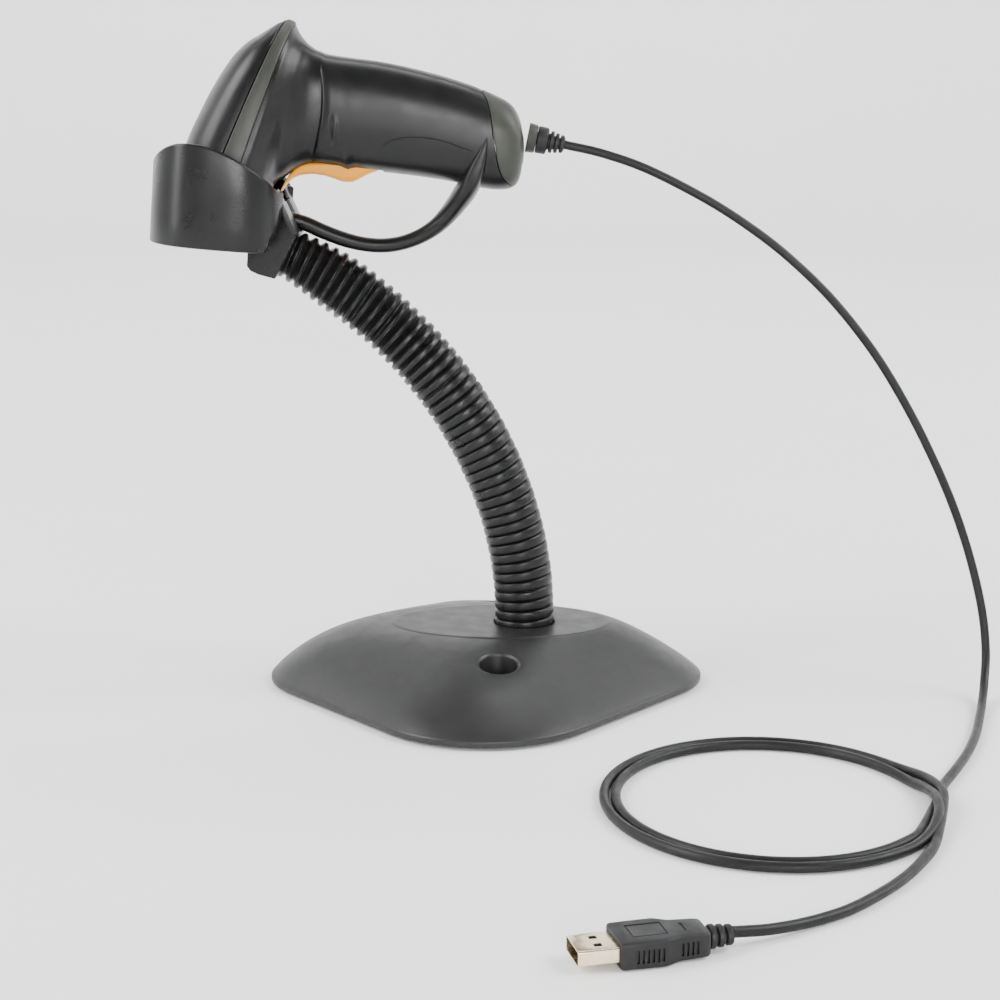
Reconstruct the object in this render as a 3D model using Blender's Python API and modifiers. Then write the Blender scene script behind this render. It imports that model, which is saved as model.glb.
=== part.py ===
"""Handheld barcode scanner resting in its gooseneck stand, with its lead and USB plug.

Metres, +Z up, X along the scanner from nose (-X) to handle end (+X), Y towards the back. The origin is on the
counter, under the centre of the stand's base. Pieces that touch keep GAP between their meshes.
"""

import math

import bmesh
import bpy
from mathutils import Matrix, Vector

# ---------------------------------------------------------------- driving dimensions
GAP = 0.0003

BASE_HALF_X = 0.096  # diamond before its corners are rounded
BASE_HALF_Y = 0.115
BASE_SIDE_RADIUS = 0.033
BASE_FRONT_RADIUS = 0.046
BASE_LIP = 0.0040
BASE_WALL = 0.0024
PLATFORM_X = 0.006
PLATFORM_HALF_X = 0.0443
PLATFORM_HALF_Y = 0.0260
PLATFORM_Z = 0.0245
SLOPE_POWER = 0.9
SLOPE_CROWN = 1.88
SLOPE_SWING = 0.52
SLOPE_DROP = 0.12
PAD_THICKNESS = 0.0010
SCREW_HOLE_X = 0.005
SCREW_HOLE_Y = 0.046
SCREW_HOLE_RADIUS = 0.0042
POCKET_RADIUS = 0.0072  # the cover's well over each screw hole

NECK_X = 0.0153
NECK_LENGTH = 0.182
NECK_RADIUS = 0.0116
NECK_TOP_RADIUS = 0.0097
NECK_TAPER = 0.020
NECK_BORE = 0.0082
NECK_FOOT_LEAN = -2.0  # degrees from vertical, towards the nose
NECK_TOP_LEAN = 62.0
NECK_LEAN_POWER = 0.9
NECK_BALL = 0.0155
NECK_CUTS = (0.034, 0.072, 0.110, 0.148)
NECK_BELOW = 0.0100

CRADLE_TILT = 4.8  # degrees
CRADLE_X = -0.1075
CRADLE_Z = 0.1762
CUP_FRONT = 0.0210
CUP_REAR = 0.0312
CUP_HALF_Y = 0.0352
CUP_WALL = 0.0024
CUP_LEDGE = 0.0016
CUP_MIDDLE = 0.0060
BRACKET_HALF_Y = 0.0165
FLANGE_HALF_Y = 0.0190

HEAD_TIP = Vector((-0.0735, 0, 0.2585))
HEAD_LEAN = 21.8  # degrees of the bumper band's plane from vertical
SHELL = 0.0021
RIM_LIFT = 0.0021  # the head's rim above the foot of the cup

HANDLE_DROP = 11.0  # degrees
CAP_TOP = (-0.0018, 0.2345)
CAP_FOOT = (0.0106, 0.1965)
TRIGGER_HALF_Y = 0.0062
TRIGGER_PIVOT = (-0.0440, 0.2072)
PIN_RADIUS = 0.0012
PIN_HALF_LENGTH = 0.0090
GUARD_RADIUS = 0.0029

CORD_DIAMETER = 0.0034
COIL_CENTRE = (0.0963, -0.1433)
COIL_HALF_X = 0.0574
COIL_HALF_Y = 0.0616
PLUG_MOUTH = (0.0252, -0.2685)
PLUG_YAW = 14.0
PLUG_Z = 0.0042
PLUG_SHELL = (0.0118, 0.0120, 0.0045)

# Route points of the lead, from the boot down to the counter and on to the coil, then from the coil to the plug.
BOW_ROUTE = (
    (0.0304, 0.0000, 0.2132),
    (0.0450, 0.0000, 0.2099),
    (0.0628, 0.0000, 0.2037),
    (0.0856, -0.0005, 0.1922),
    (0.1036, -0.0010, 0.1808),
    (0.1186, -0.0018, 0.1692),
    (0.1348, -0.0028, 0.1537),
    (0.1508, -0.0042, 0.1341),
    (0.1635, -0.0056, 0.1143),
    (0.1742, -0.0072, 0.0944),
    (0.1834, -0.0090, 0.0742),
    (0.1906, -0.0112, 0.0538),
    (0.1956, -0.0145, 0.0332),
)
FLOOR_ROUTE = (
    (0.1956, -0.0145, 0.0332),
    (0.1970, -0.0185, 0.0175),
    (0.1949, -0.0270, 0.0072),
    (0.1912, -0.0400, 0.0028),
    (0.1868, -0.0550, 0.0018),
    (0.1804, -0.0760, 0.0018),
    (0.1724, -0.0970, 0.0018),
    (0.1631, -0.1150, 0.0018),
    (0.1573, -0.1290, 0.0018),
)
TAIL_ROUTE = (
    (0.1350, -0.1990, 0.0018),
    (0.1267, -0.2122, 0.0018),
    (0.1172, -0.2240, 0.0018),
    (0.1060, -0.2355, 0.0018),
    (0.0930, -0.2445, 0.0020),
    (0.0810, -0.2515, 0.0030),
    (0.0704, -0.2556, 0.0041),
)

Y_AXIS = Vector((0, 1, 0))
Z_AXIS = Vector((0, 0, 1))


# ---------------------------------------------------------------- scene, materials and helpers
def clear_scene():
    for item in list(bpy.data.objects):
        bpy.data.objects.remove(item, do_unlink=True)


def make_collection(name):
    made = bpy.data.collections.new(name)
    bpy.context.scene.collection.children.link(made)
    return made


def material(name, colour, roughness, metallic=0.0, alpha=1.0):
    made = bpy.data.materials.new(name)
    made.use_nodes = True
    shader = made.node_tree.nodes["Principled BSDF"]
    shader.inputs["Base Color"].default_value = (*colour, 1.0)
    shader.inputs["Roughness"].default_value = roughness
    shader.inputs["Metallic"].default_value = metallic
    shader.inputs["Alpha"].default_value = alpha
    made.diffuse_color = (*colour, alpha)
    return made


def add(name, mesh, finish, collection=None, matrix=None):
    """Links a mesh as one named object with its material."""
    item = bpy.data.objects.new(name, mesh)
    (collection or PARTS).objects.link(item)
    if matrix is not None:
        item.matrix_world = matrix
    if finish is not None:
        mesh.materials.append(finish)
    return item


def as_cutter(item):
    for collection in list(item.users_collection):
        collection.objects.unlink(item)
    CUTTERS.objects.link(item)
    item.hide_render = True
    item.display_type = "WIRE"
    return item


def face_out(mesh):
    work = bmesh.new()
    work.from_mesh(mesh)
    bmesh.ops.recalc_face_normals(work, faces=work.faces)
    work.to_mesh(mesh)
    work.free()


def smooth(item, degrees=35):
    item.data.shade_smooth()
    item.data.set_sharp_from_angle(angle=math.radians(degrees))
    return item


def loft(name, rings, finish, collection=None, looped=False):
    """A solid through rings of the same number of points: capped at its ends, or closed on itself if looped."""
    count = len(rings[0])
    points = [p for ring in rings for p in ring]
    spans = len(rings) if looped else len(rings) - 1
    faces = []
    for i in range(spans):
        low, high = i * count, (i + 1) % len(rings) * count
        for j in range(count):
            k = (j + 1) % count
            faces.append((low + j, low + k, high + k, high + j))
    if not looped:
        faces.append(tuple(reversed(range(count))))
        faces.append(tuple(range(len(points) - count, len(points))))
    mesh = bpy.data.meshes.new(name)
    mesh.from_pydata([tuple(p) for p in points], [], faces)
    mesh.validate()
    face_out(mesh)
    return smooth(add(name, mesh, finish, collection))


def bevelled(item, width, segments=2):
    bevel = item.modifiers.new("Bevel", "BEVEL")
    bevel.width = width
    bevel.segments = segments
    bevel.limit_method = "ANGLE"
    bevel.angle_limit = math.radians(40)
    bevel.use_clamp_overlap = True
    return item


def block(name, size, matrix, finish, bevel=0.0, collection=None):
    """A box of that size, centred at its matrix."""
    work = bmesh.new()
    bmesh.ops.create_cube(work, size=1.0)
    bmesh.ops.scale(work, vec=size, verts=work.verts)
    mesh = bpy.data.meshes.new(name)
    work.to_mesh(mesh)
    work.free()
    item = add(name, mesh, finish, collection, matrix)
    return bevelled(item, bevel) if bevel else item


def drum(name, radius, depth, matrix, finish, sides=24, top=None, collection=None):
    """A cylinder or cone along its matrix's Z, centred there."""
    work = bmesh.new()
    far = radius if top is None else top
    bmesh.ops.create_cone(work, cap_ends=True, segments=sides, radius1=radius, radius2=far, depth=depth)
    mesh = bpy.data.meshes.new(name)
    work.to_mesh(mesh)
    work.free()
    return smooth(add(name, mesh, finish, collection, matrix))


def turned(name, profile, matrix, finish, sides=24, collection=None):
    """A turned solid: profile is (radius, height) from its top down its outer side to its foot."""
    mesh = bpy.data.meshes.new(name)
    points = [(r, 0, z) for r, z in profile]
    mesh.from_pydata(points, [(i, i + 1) for i in range(len(points) - 1)], [])
    item = add(name, mesh, finish, collection, matrix)
    screw = item.modifiers.new("Screw", "SCREW")
    screw.axis = "Z"
    screw.steps = sides
    screw.render_steps = sides
    screw.use_merge_vertices = True
    screw.merge_threshold = 0.00001
    screw.use_smooth_shade = True
    return item


def slab(name, outline, half_width, finish, bevel=0.0, plane="XZ", level=0.0, collection=None):
    """A flat outline of (a, b) points, extruded half_width to both sides of its plane."""
    curve = bpy.data.curves.new(name, "CURVE")
    curve.dimensions = "2D"
    curve.fill_mode = "BOTH"
    curve.extrude = half_width
    spline = curve.splines.new("POLY")
    spline.points.add(len(outline) - 1)
    for point, (a, b) in zip(spline.points, outline):
        point.co = (a, b, 0, 1)
    spline.use_cyclic_u = True
    shape = bpy.data.objects.new(name + "_outline", curve)
    PARTS.objects.link(shape)
    if plane == "XZ":
        shape.matrix_world = Matrix.Translation((0, level, 0)) @ Matrix.Rotation(math.radians(90), 4, "X")
    else:
        shape.matrix_world = Matrix.Translation((0, 0, level))
    item = solid_from(shape, name, finish, collection)
    return bevelled(item, bevel) if bevel else item


def solid_from(curve_object, name, finish, collection=None):
    """Turns a curve object into a closed mesh object and removes the curve."""
    bpy.context.view_layer.update()
    graph = bpy.context.evaluated_depsgraph_get()
    mesh = bpy.data.meshes.new_from_object(curve_object.evaluated_get(graph))
    work = bmesh.new()
    work.from_mesh(mesh)
    bmesh.ops.remove_doubles(work, verts=work.verts, dist=0.00001)
    bmesh.ops.dissolve_limit(work, angle_limit=math.radians(0.5), verts=work.verts, edges=work.edges)
    bmesh.ops.recalc_face_normals(work, faces=work.faces)
    work.to_mesh(mesh)
    work.free()
    mesh.name = name
    mesh.materials.clear()
    item = add(name, mesh, finish, collection, curve_object.matrix_world.copy())
    bpy.data.objects.remove(curve_object, do_unlink=True)
    return item


def tube(name, points, radius, finish, resolution=2, mesh=False):
    """A round bar along points."""
    curve = bpy.data.curves.new(name, "CURVE")
    curve.dimensions = "3D"
    curve.bevel_depth = radius
    curve.bevel_resolution = resolution
    curve.use_fill_caps = True
    spline = curve.splines.new("POLY")
    spline.points.add(len(points) - 1)
    for point, place in zip(spline.points, points):
        point.co = (*place, 1)
    item = bpy.data.objects.new(name + "_line" if mesh else name, curve)
    PARTS.objects.link(item)
    if mesh:
        return smooth(solid_from(item, name, finish))
    curve.materials.append(finish)
    return item


def boolean(item, cutter, operation="DIFFERENCE"):
    change = item.modifiers.new(operation.title(), "BOOLEAN")
    change.operation = operation
    change.solver = "EXACT"
    change.object = as_cutter(cutter)
    return item


def through(start, end):
    """A matrix at the middle of two points, with its Z axis along them."""
    run = Vector(end) - Vector(start)
    turn = run.to_track_quat("Z", "Y").to_matrix().to_4x4()
    return Matrix.Translation((Vector(start) + Vector(end)) / 2) @ turn


def rod(name, start, end, radius, finish, sides=16, top=None, collection=None):
    length = (Vector(end) - Vector(start)).length
    return drum(name, radius, length, through(start, end), finish, sides, top, collection)


def smooth_curve(points, spacing):
    """Points a spacing apart along a centripetal-like Catmull-Rom curve through the route points."""
    route = [Vector(p) for p in points]
    route = [2 * route[0] - route[1], *route, 2 * route[-1] - route[-2]]
    dense = []
    for a, b, c, d in zip(route, route[1:], route[2:], route[3:]):
        for step in range(12):
            t = step / 12
            dense.append(
                0.5 * (2 * b + (c - a) * t + (2 * a - 5 * b + 4 * c - d) * t**2 + (3 * b - a - 3 * c + d) * t**3)
            )
    dense.append(route[-2])
    length = sum((b - a).length for a, b in zip(dense, dense[1:]))
    count = max(2, round(length / spacing))
    placed, travelled, target = [dense[0]], 0.0, length / count
    for a, b in zip(dense, dense[1:]):
        step = (b - a).length
        while travelled + step >= target - 1e-9 and len(placed) < count:
            placed.append(a.lerp(b, (target - travelled) / step))
            target += length / count
        travelled += step
    placed.append(dense[-1])
    return placed


def between(value, table):
    """The value read from a table of (station, value) pairs by straight lines."""
    if value <= table[0][0]:
        return table[0][1]
    for (a, low), (b, high) in zip(table, table[1:]):
        if value <= b:
            return low + (high - low) * (value - a) / (b - a)
    return table[-1][1]


# ---------------------------------------------------------------- base of the stand
def diamond_radius(angle, inset=0.0):
    """Distance from the centre to the base's outline, which is a diamond with round corners."""
    c, s = abs(math.cos(angle)), abs(math.sin(angle))
    normal = Vector((1 / BASE_HALF_X, 1 / BASE_HALF_Y)).normalized()
    reach = normal.x * BASE_HALF_X - inset
    side, front = BASE_SIDE_RADIUS - inset, BASE_FRONT_RADIUS - inset
    side_x = (reach - side) / normal.x
    front_y = (reach - front) / normal.y
    if math.atan2(s, c) < math.atan2(side * normal.y, side_x + side * normal.x):
        return side_x * c + math.sqrt(side**2 - (side_x * s) ** 2)
    if math.atan2(s, c) > math.atan2(front_y + front * normal.y, front * normal.x):
        return front_y * s + math.sqrt(front**2 - (front_y * c) ** 2)
    return reach / (normal.x * c + normal.y * s)


def base_ring(share, z, inset=0.0, sides=48):
    """A ring between the platform's ellipse (share 0) and the base's outline (share 1)."""
    ring = []
    for i in range(sides):
        angle = 2 * math.pi * i / sides
        outer = diamond_radius(angle, inset)
        a, b = PLATFORM_HALF_X - inset, PLATFORM_HALF_Y - inset
        inner = a * b / math.hypot(b * math.cos(angle), a * math.sin(angle))
        reach = inner + (outer - inner) * share
        shift = PLATFORM_X * (1 - share)
        ring.append(Vector((shift + reach * math.cos(angle), reach * math.sin(angle), z)))
    return ring


def circle_ring(x, radius, z, sides=48):
    return [
        Vector((x + radius * math.cos(2 * math.pi * i / sides), radius * math.sin(2 * math.pi * i / sides), z))
        for i in range(sides)
    ]


def slope_z(share, angle):
    """The slope's height: full towards the corner ahead of the neck's lean, flatter towards the other."""
    crown = SLOPE_CROWN - SLOPE_SWING * math.cos(angle)
    fall = (1 - share**crown) ** SLOPE_POWER * (1 - SLOPE_DROP * share)
    return BASE_LIP + (PLATFORM_Z - BASE_LIP) * fall


def slope_ring(share, depth=0.0, inset=0.0):
    """A ring of the cover's slope, or of its inside face, depth below it."""
    ring = base_ring(share, 0.0, inset)
    for i, point in enumerate(ring):
        point.z = slope_z(share, 2 * math.pi * i / len(ring)) - depth
    return ring


def slope_at(x, y):
    """Height of the cover's slope over a point of the base, found by closing in on the point's share."""
    share = 0.5
    for _ in range(20):
        across = x - PLATFORM_X * (1 - share)
        angle = math.atan2(y, across)
        outer = diamond_radius(angle)
        reach = math.hypot(PLATFORM_HALF_Y * math.cos(angle), PLATFORM_HALF_X * math.sin(angle))
        inner = PLATFORM_HALF_X * PLATFORM_HALF_Y / reach
        share = min(max((math.hypot(across, y) - inner) / (outer - inner), 0.0), 1.0)
    return slope_z(share, angle)


def add_wells(cover, low):
    """A round wall under the cover's slope, from the base plate up, about each screw hole."""
    for end, way in (("front", -1), ("rear", 1)):
        foot, top = [], []
        for i in range(24):
            angle = 2 * math.pi * i / 24
            x = SCREW_HOLE_X + (POCKET_RADIUS + 0.0018) * math.cos(angle)
            y = way * SCREW_HOLE_Y + (POCKET_RADIUS + 0.0018) * math.sin(angle)
            foot.append(Vector((x, y, low)))
            top.append(Vector((x, y, slope_at(x, y) - BASE_WALL / 2)))
        boolean(cover, loft(f"{end}_well", [foot, top], None), "UNION")
    return cover


def cut_screw_holes(item, radius=SCREW_HOLE_RADIUS, sides=16):
    for end, way in (("front", -1), ("rear", 1)):
        foot = Vector((SCREW_HOLE_X, way * SCREW_HOLE_Y, -0.002))
        hole = rod(f"{item.name}_{end}_hole", foot, foot + 0.04 * Z_AXIS, radius, None, sides)
        boolean(item, hole)
    return item


def make_base():
    foot = PAD_THICKNESS + GAP
    shares = (1.0, 0.97, 0.92, 0.85, 0.75, 0.6, 0.4, 0.2, 0.0)
    outer = [base_ring(1.0, foot)] + [slope_ring(t) for t in shares]
    outer.append(circle_ring(NECK_X, NECK_RADIUS + 0.0006, PLATFORM_Z))
    inner = [circle_ring(NECK_X, NECK_RADIUS + 0.0006, PLATFORM_Z - BASE_WALL)]
    inner += [slope_ring(t, BASE_WALL, BASE_WALL) for t in reversed(shares[2:])]
    inner.append(base_ring(1.0, foot, BASE_WALL))
    cover = add_wells(loft("base_cover", outer + inner, BLACK_SATIN, looped=True), foot + 0.0016 + GAP)
    cut_screw_holes(cover, POCKET_RADIUS, 24)

    edge = BASE_WALL + GAP
    plate = [base_ring(0.88, z, edge) for z in (foot, foot + 0.0016)]
    cut_screw_holes(loft("base_plate", plate, STEEL))
    pad = [base_ring(0.97, z, edge) for z in (0.0, PAD_THICKNESS)]
    cut_screw_holes(loft("anti_slip_pad", pad, RUBBER))

    low = foot + 0.0016 + GAP
    weight = loft("base_weight", [base_ring(0.46, z, 0.002) for z in (low, low + 0.0055)], IRON)
    well = drum("weight_well", 0.0205, 0.03, Matrix.Translation((NECK_X, 0, 0.01)), None, 32)
    boolean(cut_screw_holes(weight, POCKET_RADIUS + 0.0022), well)

    under = PLATFORM_Z - BASE_WALL - GAP
    nut = ((0.0190, under), (0.0190, under - 0.0050), (neck_bore_at_foot(), under - 0.0050))
    nut = ((neck_bore_at_foot(), under), *nut, (neck_bore_at_foot(), under))
    turned("neck_nut", nut, Matrix.Translation((NECK_X, 0, 0)), STEEL, 24)
    for number, angle in enumerate((90, 210, 330)):
        reach = 0.0265
        place = Vector((NECK_X + reach * math.cos(math.radians(angle)), reach * math.sin(math.radians(angle)), 0))
        make_screw(f"base_screw_{number + 1}", place + Z_AXIS * (low + 0.0055 + GAP), Z_AXIS, 0.0026, 0.0070)


def neck_bore_at_foot():
    return NECK_RADIUS + GAP


def make_screw(name, seat, way, head_radius, length):
    """A pan-head screw whose head sits on seat, pointing along way, with a straight shank standing free."""
    turn = Vector(way).to_track_quat("Z", "Y").to_matrix().to_4x4()
    profile = (
        (0.0, 0.0018),
        (head_radius * 0.7, 0.0016),
        (head_radius, 0.0006),
        (head_radius, 0.0),
        (0.0, 0.0),
    )
    return turned(name, profile, Matrix.Translation(seat) @ turn, STEEL, 12)


# ---------------------------------------------------------------- gooseneck
def neck_lean(s):
    share = min(max(s / NECK_LENGTH, 0.0), 1.0)
    return math.radians(NECK_FOOT_LEAN + (NECK_TOP_LEAN - NECK_FOOT_LEAN) * share**NECK_LEAN_POWER)


def neck_point(s):
    """The neck's centreline at the arc length s above the platform, and its direction there."""
    steps = max(1, round(abs(s) / 0.0005))
    place = Vector((NECK_X, 0, PLATFORM_Z))
    for i in range(steps):
        lean = neck_lean(s * (i + 0.5) / steps)
        place += Vector((-math.sin(lean), 0, math.cos(lean))) * s / steps
    lean = neck_lean(s)
    return place, Vector((-math.sin(lean), 0, math.cos(lean)))


def neck_radius(s):
    taper = max(0.0, s - (NECK_LENGTH - NECK_TAPER)) / NECK_TAPER
    return NECK_RADIUS + (NECK_TOP_RADIUS - NECK_RADIUS) * min(taper, 1.0)


def neck_ring(s, radius, rise=0.0, sides=20):
    """A ring round the centreline at s, moved by rise along the direction there."""
    place, way = neck_point(s)
    across = Y_AXIS.cross(way)
    ring = []
    for i in range(sides):
        angle = 2 * math.pi * i / sides
        ring.append(place + way * rise + radius * (across * math.cos(angle) + Y_AXIS * math.sin(angle)))
    return ring


def ball_rise(radius, ball):
    return math.sqrt(ball**2 - radius**2) - math.sqrt(NECK_BALL**2 - NECK_RADIUS**2)


def neck_pivot(cut):
    place, way = neck_point(cut)
    return place - way * math.sqrt(NECK_BALL**2 - NECK_RADIUS**2)


def conduit(name, start, end, hollow_foot, domed_top):
    """One stretch of the conduit, hollow, with ball-shaped ends where it meets the next stretch."""
    spans = max(2, round((end - start) / 0.010))
    outer = [neck_ring(start + (end - start) * i / spans, neck_radius(start + (end - start) * i / spans))
             for i in range(spans + 1)]
    inner_s = [end, (start + end) / 2, start]
    inner = [neck_ring(s, NECK_BORE) for s in inner_s]
    middle = (NECK_RADIUS + NECK_BORE) / 2
    if domed_top:
        inner[0] = neck_ring(end, NECK_BORE, ball_rise(NECK_BORE, NECK_BALL))
        outer.append(neck_ring(end, middle, ball_rise(middle, NECK_BALL)))
    if hollow_foot:
        ball = NECK_BALL + 0.0005
        outer[0] = neck_ring(start, neck_radius(start), ball_rise(NECK_RADIUS, ball))
        inner[-1] = neck_ring(start, NECK_BORE, ball_rise(NECK_BORE, ball))
        inner.append(neck_ring(start, middle, ball_rise(middle, ball)))
    return loft(name, outer + inner, CONDUIT, looped=True)


def make_neck():
    stops = (-NECK_BELOW, *NECK_CUTS, NECK_LENGTH - GAP)
    names = ("neck_root_conduit", "neck_lower_conduit", "neck_middle_conduit", "neck_upper_conduit",
             "neck_top_conduit")
    for i, name in enumerate(names):
        conduit(name, stops[i], stops[i + 1], i > 0, i < len(names) - 1)


# ---------------------------------------------------------------- cradle
def cradle_place(along, rise, y=0.0):
    """World position of a point in the cradle's own tilted frame: along its foot, and up its axis."""
    tilt = math.radians(CRADLE_TILT)
    x = CRADLE_X + along * math.cos(tilt) + rise * math.sin(tilt)
    z = CRADLE_Z - along * math.sin(tilt) + rise * math.cos(tilt)
    return Vector((x, y, z))


def cradle_axis():
    return (cradle_place(0, 1) - cradle_place(0, 0)).normalized()


def cup_plan(angle, inset):
    """Point of the cup's plan outline: squarer round the nose, rounder towards the bracket."""
    c, s = math.cos(angle), math.sin(angle)
    reach = (CUP_REAR - CUP_MIDDLE if c > 0 else CUP_FRONT + CUP_MIDDLE) - inset
    power = 2 / 3.2 if c > 0 else 2 / 2.7
    along = CUP_MIDDLE + reach * math.copysign(abs(c) ** power, c)
    return along, (CUP_HALF_Y - inset) * math.copysign(abs(s) ** power, s)


CUP_RIM = ((-0.0210, 0.0292), (-0.0185, 0.0325), (-0.0163, 0.0345), (-0.0125, 0.0367), (-0.0085, 0.0379),
           (-0.0045, 0.0382), (0.0007, 0.0379), (0.0085, 0.0358), (0.0140, 0.0336), (0.0192, 0.0308),
           (0.0244, 0.0273), (0.0277, 0.0242), (0.0290, 0.0228))
BRACKET_CUT = ((0.0172, 0.0), (0.0283, 0.0190))
CUP_CUT = ((0.0252, 0.0), (0.0326, 0.0190))


def make_cup():
    sides = 64
    rings = []
    for i in range(sides):
        angle = 2 * math.pi * (i + 0.5) / sides
        outer, inner, ledge = (cup_plan(angle, inset) for inset in (0.0, CUP_WALL, CUP_WALL + CUP_LEDGE))
        top = between(outer[0], CUP_RIM)
        profile = ((outer, 0.0), (outer, top), (inner, top), (inner, 0.0016), (ledge, 0.0016), (ledge, 0.0))
        rings.append([cradle_place(plan[0], rise, plan[1]) for plan, rise in profile])
    cup = loft("cradle_cup", rings, BLACK_SATIN, looped=True)
    low, high = CUP_CUT
    lean = (high[0] - low[0]) / (high[1] - low[1])
    wedge = [(low[0] - 0.02 * lean, -0.02), (low[0] + 0.05 * lean, 0.05), (0.09, 0.05), (0.09, -0.02)]
    wedge = [cradle_place(a, b) for a, b in wedge]
    boolean(cup, slab("cup_corner_cut", [(p.x, p.z) for p in wedge], 0.05, None))
    boolean(cup, cradle_box("cup_gate_cut", 0.012, 0.050, -0.010, 0.050, FLANGE_HALF_Y + GAP))
    return cup


def make_bracket():
    """The block under the cup that holds the neck, with the slanted flange that closes the cup behind."""
    low, high = BRACKET_CUT
    face, way = neck_point(NECK_LENGTH)
    up = Vector((way.z, 0, -way.x))
    face_low, face_high = face - up * 0.0094, face + up * 0.0100
    before = ((low[0] + GAP, low[1] - GAP), (0.0175, -0.0064), (0.0190, -0.0082), (0.0223, -0.0094))
    after = ((0.0272, 0.0232), (0.0258, 0.0224), (high[0] + 0.0012, high[1] - 0.0010))
    shape = [cradle_place(a, b) for a, b in before] + [face_low, face_high] + [cradle_place(a, b) for a, b in after]
    bracket = slab("cradle_bracket", [(p.x, p.z) for p in shape], BRACKET_HALF_Y, BLACK_SATIN)
    back = Vector((-0.0022, 0, -0.0013))
    flange = [face_high, *(cradle_place(a, b) for a, b in after[:2]), face_high + back]
    boolean(bracket, slab("bracket_flange", [(p.x, p.z) for p in flange], FLANGE_HALF_Y, None), "UNION")
    stub = rod("bracket_stub", face - way * 0.009, face + way * 0.004, NECK_BORE - 3 * GAP, None, 20)
    boolean(bracket, stub, "UNION")
    boolean(bracket, cradle_box("bracket_slot", 0.0100, 0.0600, 0.0066, 0.0500, 0.0052))
    boolean(bracket, cradle_box("bracket_throat", 0.0100, 0.0600, 0.0185, 0.0500, 0.0092))
    return bracket


def cradle_box(name, left, right, low, high, half_y):
    """A cutter square to the cradle's frame."""
    corners = [cradle_place(a, b) for a, b in ((left, low), (left, high), (right, high), (right, low))]
    return slab(name, [(p.x, p.z) for p in corners], half_y, None)


# ---------------------------------------------------------------- head of the scanner
HEAD_WIDTH = ((0.0, 0.0030), (0.0015, 0.0075), (0.004, 0.0115), (0.008, 0.0158), (0.013, 0.0195), (0.020, 0.0230),
              (0.030, 0.0262), (0.042, 0.0286), (0.055, 0.0303), (0.070, 0.0310), (0.095, 0.0288))
HEAD_RISE = ((0.0, 0.0022), (0.0015, 0.0040), (0.004, 0.0060), (0.008, 0.0090), (0.013, 0.0130), (0.020, 0.0161),
             (0.030, 0.0184), (0.042, 0.0200), (0.055, 0.0209), (0.070, 0.0206), (0.095, 0.0176))
HEAD_FALL = ((0.0, 0.0030), (0.0015, 0.0058), (0.004, 0.0098), (0.008, 0.0150), (0.013, 0.0205), (0.020, 0.0252),
             (0.030, 0.0292), (0.040, 0.0306), (0.0440, 0.0300), (0.0480, 0.0205), (0.052, 0.0180),
             (0.060, 0.0152), (0.070, 0.0140), (0.095, 0.0126))
HEAD_STATIONS = (0.0, 0.0015, 0.004, 0.008, 0.013, 0.020, 0.030, 0.042, 0.055, 0.070, 0.095)
FALL_STATIONS = (0.0, 0.0015, 0.004, 0.008, 0.013, 0.020, 0.030, 0.040, 0.044, 0.048, 0.052, 0.060, 0.070, 0.095)


def head_ways():
    """Direction down the bumper band, and the direction square to its plane, towards the top cover."""
    lean = math.radians(HEAD_LEAN)
    return Vector((-math.sin(lean), 0, -math.cos(lean))), Vector((-math.cos(lean), 0, math.sin(lean)))


def head_place(s, y, out):
    down, square = head_ways()
    return HEAD_TIP + down * s + square * out + Y_AXIS * y


def band_half(s):
    return 0.0019 + 0.033 * max(s, 0.0)


def arc_points(width, rise, start, out, count, s):
    """Half an oval from -width to +width, rising from the level start on the side of out, squarer near the rim."""
    power = 2 / (2.0 + 0.45 * min(max((s - 0.020) / 0.050, 0.0), 1.0))
    points = []
    for i in range(count + 1):
        angle = math.pi * (i / count - 0.5)
        y = width * math.copysign(abs(math.sin(angle)) ** power, angle)
        points.append((y, out * (start + (rise - start) * abs(math.cos(angle)) ** power)))
    return points


def trim_at_rim(item, above=RIM_LIFT):
    """Cuts off what is below the head's rim, which is parallel to the cup's foot."""
    size = 0.3
    centre = cradle_place(0, above - size / 2)
    tilt = Matrix.Rotation(math.radians(CRADLE_TILT), 4, "Y")
    knife = block(item.name + "_rim_cut", (size, size, size), Matrix.Translation(centre) @ tilt, None)
    return boolean(item, knife)


def make_top_cover():
    rings = []
    for s in HEAD_STATIONS:
        width, rise, start = between(s, HEAD_WIDTH), between(s, HEAD_RISE), band_half(s) + GAP / 2
        thick = min(SHELL, width * 0.45)
        rise = max(rise, start + 0.0008)
        outer = arc_points(width, rise, start, 1, 16, s)
        inner = arc_points(width - thick, max(rise - thick, start + 0.0004), start, 1, 16, s)
        if s == HEAD_STATIONS[0]:
            inner = [(y * 0.4, start + 0.0002 + 0.3 * (out - start)) for y, out in outer]
        rings.append([head_place(s, y, out) for y, out in outer + inner[::-1]])
    return trim_at_rim(loft("top_cover", rings, BLACK_SATIN))


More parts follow.
